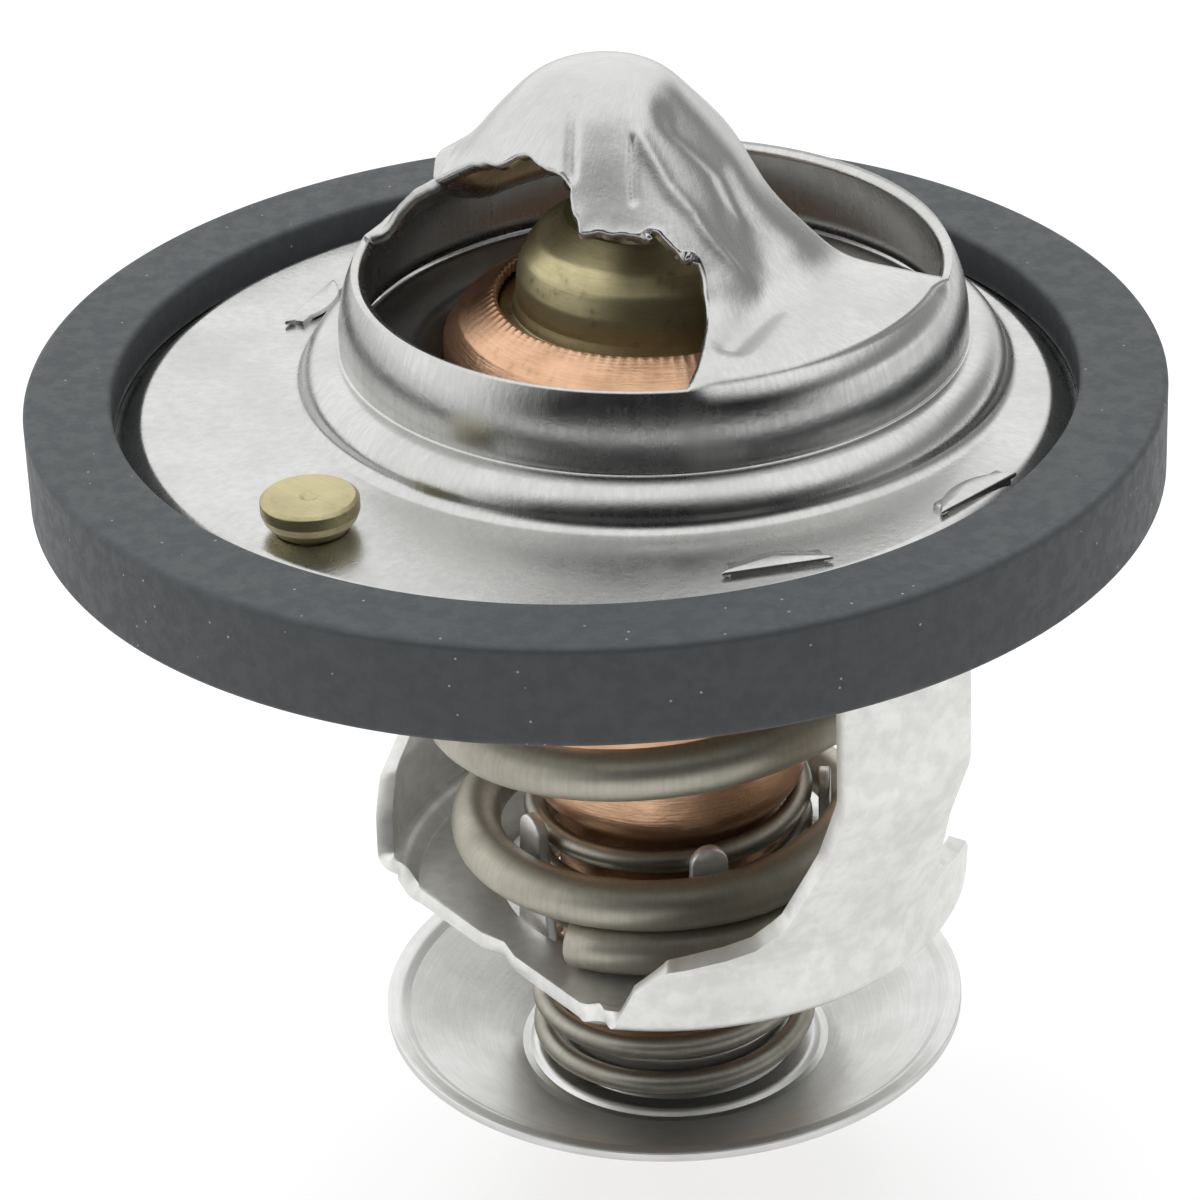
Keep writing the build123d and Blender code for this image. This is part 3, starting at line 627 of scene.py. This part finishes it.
def smooth_curve(points, per_span=24):
    """A Catmull-Rom curve: each span leaves a point along the line between its neighbours."""
    points = np.asarray(points, float)
    padded = np.vstack([2 * points[0] - points[1], points, 2 * points[-1] - points[-2]])
    p0, p1, p2, p3 = (padded[i : len(padded) - 3 + i, None] for i in range(4))
    t = np.linspace(0, 1, per_span, endpoint=False)[None, :, None]
    curve = 0.5 * (2 * p1 + (p2 - p0) * t + (2 * p0 - 5 * p1 + 4 * p2 - p3) * t**2
                   + (3 * p1 - p0 - 3 * p2 + p3) * t**3)
    return np.vstack([curve.reshape(-1, points.shape[1]), points[-1]])


bell_curve = smooth_curve(bell_shares)
bell_foot = WALL_END[1] - FLANGE_TOP
bell_z = FLANGE_TOP + bell_foot + bell_curve[:, 0] * (BRIDGE_HEIGHT - bell_foot)
bell_r = bell_curve[:, 1] * WALL_END[0]


def on_bell(plan):
    """Points of the bell's skin for plan points measured from the middle of their own ring.

    A ring's radius fixes its height and how far the ring stands off the axis.
    """
    radius = np.hypot(plan[..., 0], plan[..., 1])
    height = np.interp(radius, bell_r[::-1], bell_z[::-1])
    shift = BELL_LEAN * np.interp(radius, bell_r[::-1], bell_curve[::-1, 2])
    return np.stack([plan[..., 0] - shift, plan[..., 1], height], -1)


def turned(points, angle):
    """Plan points turned about the axis."""
    c, s = cos(angle), sin(angle)
    return points @ np.array([[c, s], [-s, c]])


print("bell:", bell_z.max(), bell_r.max())

# %% The bridge
ALONG = 230
clean = smooth_curve([(-12.0, 8.5), (-11.0, 7.6), (-9.9, 6.7), (-6.5, 5.9), (-2.5, 5.7),
                      (1.45, 5.63), (5.2, 5.2), (8.03, 5.33), (10.2, 6.7), (11.4, 7.8),
                      (12.0, 8.5)])
torn = smooth_curve([(-12.04, -8.43), (-11.3, -7.95), (-10.6, -7.6), (-8.6, -6.9),
                     (-6.4, -6.4), (-3.98, -6.03), (-0.81, -6.03),
                     (0.3, -5.56), (0.87, -5.38), (1.97, -5.37), (3.3, -5.07),
                     (4.12, -5.53), (4.87, -5.61), (5.57, -5.31), (6.79, -3.87),
                     (7.04, -3.08), (7.63, -2.59), (7.99, -2.54), (8.32, -1.94),
                     (8.64, -2.38), (9.11, -3.67), (10.25, -5.68), (12.04, -8.43)], 12)


def evenly(curve, count):
    """The same curve at a count of evenly spaced points."""
    along = np.r_[0, np.cumsum(np.linalg.norm(np.diff(curve, axis=0), axis=1))]
    where = np.linspace(0, along[-1], count)
    return np.stack([np.interp(where, along, curve[:, i]) for i in (0, 1)], 1)


rng = np.random.default_rng(4)
clean_row, torn_row = evenly(clean, ALONG), evenly(torn, ALONG)
rag = np.convolve(rng.normal(size=ALONG + 4), [0.2, 0.3, 0.3, 0.2], "same")[2:-2]
middle = np.clip(1 - np.abs(torn_row[:, 0] - 5.0) / 4.0, 0, 1)
torn_row[:, 1] += 0.12 * rag * middle + 0.03 * rag * (np.abs(torn_row[:, 0]) < 10)
columns = abs(FOOT_ANGLES[0][1] - FOOT_ANGLES[0][0]) + 1
feet = []
for first, last in (FOOT_ANGLES[1], FOOT_ANGLES[0]):
    around = np.linspace(first, last, columns)
    reach = WALL_END[0] - foot_pull(around)
    heading = np.stack([np.cos(np.radians(around)), np.sin(np.radians(around))], 1)
    feet.append(reach[:, None] * heading)
back_foot, front_foot = feet
for row, column in ((clean_row, 0), (torn_row, -1)):
    row[0], row[-1] = back_foot[column], front_foot[column]
a = np.linspace(0, 1, columns)[None, :, None]
b = np.linspace(0, 1, ALONG)[:, None, None]
ruled_across = (1 - a) * clean_row[:, None] + a * torn_row[:, None]
ruled_along = (1 - b) * back_foot[None] + b * front_foot[None]
corner_blend = ((1 - a) * (1 - b) * back_foot[0] + a * (1 - b) * back_foot[-1]
                + (1 - a) * b * front_foot[0] + a * b * front_foot[-1])
strip = ruled_across + ruled_along - corner_blend      # the plan, along and across the bridge
skin = on_bell(turned(strip, radians(BRIDGE_TURN)))
skin[[0, -1], :, 2] = WALL_END[1]


def dent(path, width, depth):
    """A groove or ridge along a path in the strip: depth times exp(-(distance / width)^2)."""
    path = np.array(path, float)
    gap = np.full(strip.shape[:2], 99.0)
    for start, line in zip(path[:-1], np.diff(path, axis=0)):
        share = np.clip(((strip - start) @ line) / (line @ line), 0, 1)
        off = np.linalg.norm(strip - start - share[..., None] * line, axis=-1)
        gap = np.minimum(gap, off)
    return depth * np.exp(-((gap / width) ** 2))


inside = np.minimum(b[..., 0], 1 - b[..., 0]) * 2
held = np.clip(inside / 0.1, 0, 1)        # no dent reaches the feet
edge = a[..., 0] * np.ones((ALONG, columns))
curl = 0.12 * np.clip((edge - 0.94) / 0.06, 0, 1) ** 2 * middle[:, None]
foot_rise = np.interp(torn_row[:, 0], [-12.0, -11.3, -10.4, -9.4, -8.4, -7.4, -6.4, -5.2, -4.4],
                      [0, 0.25, 1.3, 2.1, 2.5, 2.6, 1.7, 0.2, 0])[:, None]
wrinkles = (foot_rise * ease(edge, 0.55, 1)                      # the raised back foot
            + dent([(1.2, -2.5), (3.4, -4.7)], 0.2, -0.2)        # fold by the notch
            + dent([(0.8, -2.8), (3.0, -5.0)], 0.3, 0.12)
            + dent([(4.4, -1.8), (5.9, -3.1)], 0.13, -0.2)       # slit
            + dent([(4.6, -1.4), (6.4, -1.3), (7.6, -0.7), (8.8, -0.6)], 0.4, 0.2)
            + dent([(4.5, 0.9), (6.1, 2.2), (7.9, 2.2), (9.0, 1.0), (9.9, -0.9),
                    (10.9, -4.4)], 0.85, -0.5)                   # the hollow beside it
            + dent([(-1.6, -4.9), (-0.6, -4.2)], 0.35, -0.12))
skin[..., 2] += held * (wrinkles + curl)
bridge = (skin.reshape(-1, 3), grid_faces(ALONG, columns)[:, ::-1])
print("bridge:", ALONG, "by", columns, "points")

# %% The pressing as one piece
pressing = shell("flange_pressing", [flat_and_dome, bridge], closed=False)
work = bmesh.new()
work.from_mesh(pressing.data)
bmesh.ops.recalc_face_normals(work, faces=work.faces)
if sum(face.normal.z for face in work.faces) < 0:
    bmesh.ops.reverse_faces(work, faces=work.faces)
work.to_mesh(pressing.data)
work.free()
thicken(pressing, 0.65, even=False)
fit(pressing, "flange_bridge")

# %% [markdown]
# ## The wax element
# The copper cup is spun over a brass guide: its rim is crimped, and the crimping tool leaves
# a fine tooth all round the inner edge.  The teeth are a wave of the angle, and only the
# points at the inner edge follow it.

# %% Copper cup
CRIMP_INNER = 7.7
CRIMP_TEETH = 98
POINTS_PER_TOOTH = 7
cup_outline = np.vstack([
    rounded([(0, 0.6), (0, 0), (4.95, 0)], [0, 0, 0], closed=False)[:-1],
    arc3((4.95, 0), (5.516, 0.234), (5.75, 0.8), 8),
    spaced([(5.75, 0.8), (5.75, 16.9)], False, 2.0)[1:],
    arc3((5.75, 16.9), (6.85, 17.7), (7.2, 19.0), 14)[1:],
    rounded([(7.2, 19.0), (7.2, 40.8), (10.4, 40.8), (10.4, 43.2), (9.6, 44.2),
             (8.33, 45.0), (8.02, 45.2), (CRIMP_INNER, 45.4), (CRIMP_INNER, 44.8), (9.3, 43.7),
             (9.8, 43.0), (9.8, 41.4), (6.6, 41.4), (6.6, 19.1), (5.15, 17.5), (5.15, 0.6),
             (0, 0.6)],
            [0, 0.25, 0.2, 0.6, 0.5, 0, 0, 0.12, 0.1, 0, 0, 0, 0, 0, 0, 0, 0], closed=False,
            step=1.5)[1:],
])


def crimp_wave(angle, radius, height):
    """Teeth on the crimp's inner edge: a rounded wave of the angle, fading away from it."""
    near = np.exp(-(((radius - CRIMP_INNER) / 0.3) ** 2)) * (height > 44.5)
    wave = np.abs(np.sin(CRIMP_TEETH * angle / 2)) - 0.5
    return radius - 0.12 * near * wave, height - 0.06 * near * wave


cup_segments = CRIMP_TEETH * POINTS_PER_TOOTH
copper_cup = shell("copper_cup", [lathe(cup_outline, segments=cup_segments, ripple=crimp_wave)])
fit(copper_cup, "wax_cup")

# %% Brass guide, rubber wiper and rod
guide_outline = rounded(
    [(1.95, 42.2), (9.75, 42.2), (9.75, 42.9), (9.2, 43.45), (7.6, 44.55), (6.95, 44.7),
     (6.75, 45.3), (6.65, 46.5), (6.3, 47.6), (5.6, 48.5), (4.75, 49.1), (4.2, 49.5),
     (2.9, 49.5), (2.9, 48.3), (1.95, 48.3)],
    [0, 0, 0, 0.1, 0.1, 0.15, 0.5, 1.2, 1.2, 1.2, 0.6, 0.2, 0.1, 0, 0],
)
fit(shell("brass_guide", [lathe(guide_outline, segments=200)]), "guide_body")
wiper_outline = rounded([(1.95, 48.3), (2.85, 48.3), (2.85, 49.6), (2.5, 49.8), (1.95, 49.8)],
                        [0.05, 0.05, 0.1, 0.12, 0.05])
fit(shell("rod_wiper_ring", [lathe(wiper_outline, segments=120)]), "rod_wiper")
rod_outline = rounded(
    [(0, 26.6), (1.9, 26.6), (1.9, 54.65), (0.8, 55.75), (0, 55.75)], [0, 0.6, 0.3, 0.3, 0])
fit(shell("steel_rod", [lathe(rod_outline, segments=96)]), "piston_rod")

# %% [markdown]
# ## The main valve and the bypass disc
# Both are pressed discs of one thickness.  A disc is drawn as the middle line of its sheet,
# which becomes an outline when it is moved half a thickness to each side.

# %% Main valve
valve_line = rounded(
    [(7.6, 40.4), (10.8, 40.4), (12.0, 41.85), (14.8, 42.05), (16.0, 40.9), (16.0, 39.1)],
    [0, 0.5, 0.6, 0.8, 0.9, 0], closed=False)
fit(shell("valve_disc", [lathe(band(valve_line, 0.7), segments=256)]), "main_valve")

# %% Bypass disc and its collar
disc_line = rounded(
    [(6.28, 1.25), (7.37, 1.25), (7.67, 1.0), (8.22, 1.0), (8.92, 1.35), (14.2, 3.65),
     (14.6, 3.95), (15.25, 3.95)],
    [0, 0.28, 0.28, 0.28, 0.8, 0.3, 0.28, 0], closed=False)
collar = rounded([(5.85, 1.0), (6.5, 1.0), (6.5, 1.5), (6.2, 1.8), (6.2, 3.8), (5.85, 3.8)],
                 [0.05, 0, 0, 0.2, 0.1, 0.1])
disc_parts = [lathe(band(disc_line, 0.5), segments=256), lathe(collar, segments=160)]
disc_piece = shell("spring_disc", disc_parts)
bevel(disc_piece, 0.06)
fit(disc_piece, "bypass_disc")

# %% [markdown]
# ## The springs
# A spring is a wire along a helix.  Its end turns lie nearly flat, and between them the pitch
# is even.  The main spring also widens towards the valve.


# %% Springs
def helix(turns, start, foot, head, end_pitch, foot_radius, head_radius, closed_turns=0.6,
          per_turn=72):
    """Middle line of a spring: flat end turns, an even pitch between, and a widening radius."""
    turn = np.linspace(0, turns, round(turns * per_turn) + 1)
    pitch = (head - foot - 2 * closed_turns * end_pitch) / (turns - 2 * closed_turns)
    low, high = np.minimum(turn, closed_turns), np.maximum(turn - turns + closed_turns, 0)
    height = foot + (low + high) * end_pitch + (turn - low - high) * pitch
    radius = foot_radius + (head_radius - foot_radius) * ease(turn, 0.2 * turns, 0.72 * turns)
    angle = radians(start) + 2 * pi * turn
    return np.stack([radius * np.cos(angle), radius * np.sin(angle), height], 1)


VALVE_TRAVEL, BYPASS_TRAVEL = 8, 5
FLOOR_TOP, MAIN_TOP, MAIN_WIRE = 11.55, 41.35, 1.3
main_path = helix(4.6, -121, FLOOR_TOP + 1.35, MAIN_TOP - MAIN_WIRE, 2.65, 10.05, 13.4, 1.15)
main_coil = shell("main_coil_spring", [wire(main_path, MAIN_WIRE, 28)])
fit(main_coil, "main_spring")
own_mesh(main_coil)
BYPASS_FOOT, BYPASS_TOP, BYPASS_WIRE = 1.55, 17.48, 0.6
bypass_path = helix(6.9, 83, BYPASS_FOOT + BYPASS_WIRE, BYPASS_TOP - BYPASS_WIRE, 1.25,
                    6.92, 6.92)
bypass_coil = shell("bypass_coil_spring", [wire(bypass_path, BYPASS_WIRE, 20)])
fit(bypass_coil, "bypass_spring")
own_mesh(bypass_coil)

# %% [markdown]
# ## The stamped frame
# The strap is a dished profile, turned about the axis and then trimmed: two straight cuts
# leave its width, and notches leave its legs.  Each half is a grid over height and angle, and
# at each height the angle runs only as far as the trimmed width.

# %% Strap
FRAME_TURN = radians(-54.1)
TRAY_HALF = 11.2
LEG_HALF = 3.85
LEG_REACH, LEG_TOP = 19.4, 39.75
FRAME_SHEET = 0.9
STRAP_COLUMNS = 61
strap_line = rounded(
    [(8.9, 11.1), (13.4, 11.1), (14.2, 11.9), (15.0, 11.7), (15.3, 15.5), (LEG_REACH, 25.7),
     (LEG_REACH, LEG_TOP)],
    [0, 0.5, 0.46, 0.46, 1.5, 2.5, 0], closed=False, per_arc=10)
side_heights = [11.0, 11.9, 14.0, 15.5, 16.5, 17.9, 22.1, 60.0]
side_halves = [TRAY_HALF, TRAY_HALF, TRAY_HALF - 0.6, TRAY_HALF - 1.8, LEG_HALF + 2.2,
               LEG_HALF + 0.9, LEG_HALF, LEG_HALF]
half_width = np.interp(strap_line[:, 1], side_heights, side_halves)
half_width = np.minimum(half_width, TRAY_HALF)
half_angle = np.arcsin(np.clip(half_width / strap_line[:, 0], 0, 1))
strap_parts = []
for side in (0, pi):
    across = np.linspace(-1, 1, STRAP_COLUMNS)[None, :]
    angle = FRAME_TURN + side + half_angle[:, None] * across
    r, z = strap_line[:, :1], strap_line[:, 1:]
    points = np.stack([r * np.cos(angle), r * np.sin(angle), z + 0 * angle], -1)
    strap_parts.append((points.reshape(-1, 3), grid_faces(len(strap_line), STRAP_COLUMNS)))
strap = shell("stamped_strap", strap_parts, closed=False)
thicken(strap, FRAME_SHEET, offset=0)
bevel(strap, 0.07)
fit(strap, "lower_frame")


# %% Wings, clinched tabs and prongs
def plate(outline, low, high):
    """Points and faces of a flat plate: a fan from its middle on each face, and a wall."""
    count = len(outline)
    rings = [np.column_stack([outline, np.full(count, z)]) for z in (low, low, high, high)]
    rings[0][:, :2] = outline.mean(0)
    rings[3][:, :2] = outline.mean(0)
    return np.vstack(rings), grid_faces(4, count, wrap_columns=True)


TABS = ((20.2, -46.0), (21.2, -77.0), (18.3, 154.0), (20.0, 112.0))     # radius and azimuth
TAB_DEPTH, TAB_LENGTH = 1.3, 5.4
STEM, STEM_HALF = 4.6, 0.45
tab_parts = []
for radius, azimuth in TABS:
    inner = radius + TAB_DEPTH / 2 - STEM_HALF
    back = radius + TAB_DEPTH / 2 + STEM_HALF
    bow = arc3((back, -TAB_LENGTH / 2), (back - TAB_DEPTH, 0), (back, TAB_LENGTH / 2), 24)
    tab_parts.append(plate(turned(bow, radians(azimuth)), FLANGE_TOP + 0.05, FLANGE_TOP + 0.34))
    stem = np.array([(inner, -STEM / 2), (back, -STEM / 2), (back, STEM / 2), (inner, STEM / 2)])
    tab_parts.append(plate(turned(stem, radians(azimuth)), LEG_TOP, FLANGE_TOP + 0.3))

WING_INNER, WING_OUTER, WING_CLEAR = 18.95, 22.6, 21.9
WING_FOOT, WING_TOP, WING_POINTS = 39.3, 40.2, 60
clear_of_ring = reach_of_ring(WING_CLEAR)
for (_, first), (_, second) in (TABS[:2], TABS[2:]):
    middle_azimuth = (first + second) / 2
    spread = abs(first - second) / 2 + 10
    around = np.radians(
        np.linspace(middle_azimuth - spread, middle_azimuth + spread, WING_POINTS))
    wing_end = np.minimum(WING_OUTER, np.interp(around, ray, clear_of_ring, period=2 * pi))
    heading = np.stack([np.cos(around), np.sin(around)], 1)
    inner, outer = WING_INNER * heading, wing_end[:, None] * heading
    section = ((inner, WING_FOOT), (outer, WING_FOOT), (outer, WING_TOP), (inner, WING_TOP))
    layers = [np.column_stack([line, np.full(WING_POINTS, z)]) for line, z in section]
    points = np.stack(layers, 1).reshape(-1, 3)
    corner_numbers = np.arange(4)
    caps = [corner_numbers, len(points) - 1 - corner_numbers]
    tab_parts.append((points, np.vstack([grid_faces(WING_POINTS, 4, wrap_columns=True), caps])))
tabs = shell("clinched_tabs", tab_parts)
bevel(tabs, 0.1)
fit(tabs, "lower_frame", stands_for=False)
tabs.data.materials[0] = finishes["flange_steel"]

PRONGS, FIRST_PRONG = 5, -77              # how many, and the azimuth of the first
prong_parts = []
prong_outline = np.vstack([
    [(-1.45, 10.8), (1.45, 10.8)],
    arc3((0.95, 16.65), (0, 17.8), (-0.95, 16.65), 12),
])
prong_points, prong_faces = plate(prong_outline, 7.85, 8.45)
sideways, height, outwards = prong_points.T
for i in range(PRONGS):
    azimuth = radians(FIRST_PRONG + 360 / PRONGS * i)
    x = outwards * cos(azimuth) - sideways * sin(azimuth)
    y = outwards * sin(azimuth) + sideways * cos(azimuth)
    prong_parts.append((np.stack([x, y, height], 1), prong_faces))
prongs = shell("guide_prongs", prong_parts)
bevel(prongs, 0.12)
fit(prongs, "lower_frame", stands_for=False)

# %% [markdown]
# ## The jiggle pin
# A small brass rivet, loose in the flange, that lets trapped air past.  Its head is turned,
# with a dimple where the punch held it, and the bob is riveted on below.

# %% Jiggle pin and bob
pin_outline = rounded(
    [(0, 35.35), (0.95, 35.35), (0.95, 41.05), (1.75, 41.05), (2.2, 41.6), (2.35, 42.0),
     (2.35, 42.55), (2.15, 42.72), (0.5, 42.7), (0.25, 42.58), (0, 42.56)],
    [0, 0.2, 0.05, 0.1, 0.2, 0.15, 0.12, 0.08, 0.2, 0.1, 0])
fit(shell("jiggle_rivet", [lathe(pin_outline, PIN_CENTER, 96)]), "jiggle_pin")
bob_outline = rounded(
    [(1.0, 35.85), (1.4, 35.85), (2.1, 36.75), (2.1, 38.05), (1.6, 39.25), (1.0, 39.25)],
    [0.02, 0.15, 0.3, 0.3, 0.15, 0.02])
fit(shell("jiggle_weight", [lathe(bob_outline, PIN_CENTER, 96)]), "jiggle_bob")

# %% [markdown]
# ## Studio
# A pale floor that runs off into white, a large soft lamp overhead and weaker ones at the
# sides and in front.  What the metal mirrors is the world: white overhead and behind, and dark
# on the side the room is on, which is what gives polished metal its shape.

# %% Floor
floor_mesh = bpy.data.meshes.new("floor")
reach = 3.0
floor_level = -0.2 * MM - VALVE_TRAVEL * MM      # clear of the cup when the valve is open
floor_corners = [(x, y, floor_level) for x, y in ((-1, -1), (1, -1), (1, 1), (-1, 1))]
floor_mesh.from_pydata([(reach * x, reach * y, z) for x, y, z in floor_corners],
                       [], [(0, 1, 2, 3)])
floor = bpy.data.objects.new("floor", floor_mesh)
bpy.context.scene.collection.objects.link(floor)
floor_paint = bpy.data.materials.new("pale_floor")
floor_paint.use_nodes = True
tree = floor_paint.node_tree
tree.nodes.clear()
output = add(tree, "ShaderNodeOutputMaterial")
diffuse = add(tree, "ShaderNodeBsdfDiffuse", Color=(0.88, 0.88, 0.88, 1))
glow = add(tree, "ShaderNodeEmission", Color=(1, 1, 1, 1), Strength=1.0)
rays = add(tree, "ShaderNodeLightPath")
seen = math(tree, "MAXIMUM", rays.outputs["Is Camera Ray"], rays.outputs["Is Transmission Ray"])
mirrored = math(tree, "MULTIPLY", rays.outputs["Is Glossy Ray"], 0.7)
tree.links.new(math(tree, "MAXIMUM", seen, mirrored), glow.inputs["Strength"])
shared = math(tree, "ADD", seen, rays.outputs["Is Glossy Ray"])
blend = add(tree, "ShaderNodeMixShader")
tree.links.new(math(tree, "MULTIPLY", shared, 0.6), blend.inputs[0])
tree.links.new(diffuse.outputs[0], blend.inputs[1])
tree.links.new(glow.outputs[0], blend.inputs[2])
tree.links.new(blend.outputs[0], output.inputs[0])
floor_mesh.materials.append(floor_paint)
print("floor at", round(floor_level, 4))

# %% World
world = bpy.data.worlds.new("studio")
bpy.context.scene.world = world
world.use_nodes = True
tree = world.node_tree
tree.nodes.clear()
output = add(tree, "ShaderNodeOutputWorld")
heading = add(tree, "ShaderNodeTexCoord").outputs["Generated"]
split = add(tree, "ShaderNodeSeparateXYZ")
tree.links.new(heading, split.inputs[0])
around = stretch(tree, split.outputs[1], -0.78, -0.25, 0.0, 1.2)
overhead = stretch(tree, split.outputs[2], 0.8, 0.97, 0.0, 1.2)
# A dark gap at the right, between the pale floor and the light overhead.
gap = math(tree, "MULTIPLY", stretch(tree, split.outputs[2], 0.05, 0.25),
           stretch(tree, split.outputs[2], 0.5, 0.75, 1.0, 0.0))
gap = math(tree, "MULTIPLY", gap, stretch(tree, split.outputs[0], 0.3, 0.7, 0.0, 0.75))
around = math(tree, "MULTIPLY", around, math(tree, "SUBTRACT", 1.0, gap))
mirrored = math(tree, "MAXIMUM", around, overhead)
rays = add(tree, "ShaderNodeLightPath")
lit = add(tree, "ShaderNodeBackground", Color=(1, 1, 1, 1), Strength=0.75)
shown = add(tree, "ShaderNodeBackground", Color=(1, 1, 1, 1), Strength=1.0)
mirror = add(tree, "ShaderNodeBackground", Color=(1, 1, 1, 1))
tree.links.new(mirrored, mirror.inputs["Strength"])
pick_mirror = add(tree, "ShaderNodeMixShader")
tree.links.new(rays.outputs["Is Glossy Ray"], pick_mirror.inputs[0])
tree.links.new(lit.outputs[0], pick_mirror.inputs[1])
tree.links.new(mirror.outputs[0], pick_mirror.inputs[2])
pick_shown = add(tree, "ShaderNodeMixShader")
seen = math(tree, "MAXIMUM", rays.outputs["Is Camera Ray"], rays.outputs["Is Transmission Ray"])
tree.links.new(seen, pick_shown.inputs[0])
tree.links.new(pick_mirror.outputs[0], pick_shown.inputs[1])
tree.links.new(shown.outputs[0], pick_shown.inputs[2])
tree.links.new(pick_shown.outputs[0], output.inputs[0])
print("world: white to the camera, graded and darker in front in the metal")


# %% Lamps
def lamp(name, place, aim, size, power):
    """A square soft lamp at a place, turned so that it shines at its aim."""
    light = bpy.data.lights.new(name, "AREA")
    light.shape = "RECTANGLE"
    light.size, light.size_y = size
    light.energy = power
    holder = bpy.data.objects.new(name, light)
    holder.location = place
    holder.rotation_mode = "QUATERNION"
    holder.rotation_quaternion = (Vector(aim) - Vector(place)).to_track_quat("-Z", "Y")
    holder.visible_glossy = False         # what the metal mirrors is the world alone
    bpy.context.scene.collection.objects.link(holder)


lamp("top_lamp", (-0.05, 0.05, 0.42), (0, 0, 0.03), (0.5, 0.5), 1.8)
lamp("left_lamp", (-0.42, -0.02, 0.16), (0, 0, 0.035), (0.3, 0.4), 0.8)
lamp("right_lamp", (0.42, 0.1, 0.2), (0, 0, 0.03), (0.3, 0.4), 0.6)
lamp("front_lamp", (0.1, -0.5, 0.28), (0, 0, 0.03), (0.1, 0.1), 0.3)
print("lamps:", len(bpy.data.lights))

# %% Camera
camera_data = bpy.data.cameras.new("camera")
camera_data.sensor_width = 36.0
camera_data.lens = 146.64
camera_data.clip_start = 0.01
camera = bpy.data.objects.new("camera", camera_data)
elevation, roll, distance = radians(28.83), radians(-2.18), 0.24870
target = Vector((-0.003156, 0.0, 0.027869))
ahead = Vector((0, cos(elevation), -sin(elevation)))
level_right, level_up = Vector((1, 0, 0)), Vector((0, sin(elevation), cos(elevation)))
right = cos(roll) * level_right + sin(roll) * level_up
up = -sin(roll) * level_right + cos(roll) * level_up
place = target - distance * ahead
axes = Matrix((right, up, -ahead)).transposed().to_4x4()
camera.matrix_world = Matrix.Translation(place) @ axes
bpy.context.scene.collection.objects.link(camera)
bpy.context.scene.camera = camera
bpy.context.scene.view_settings.view_transform = "Standard"
print("camera at", tuple(round(v, 4) for v in place))
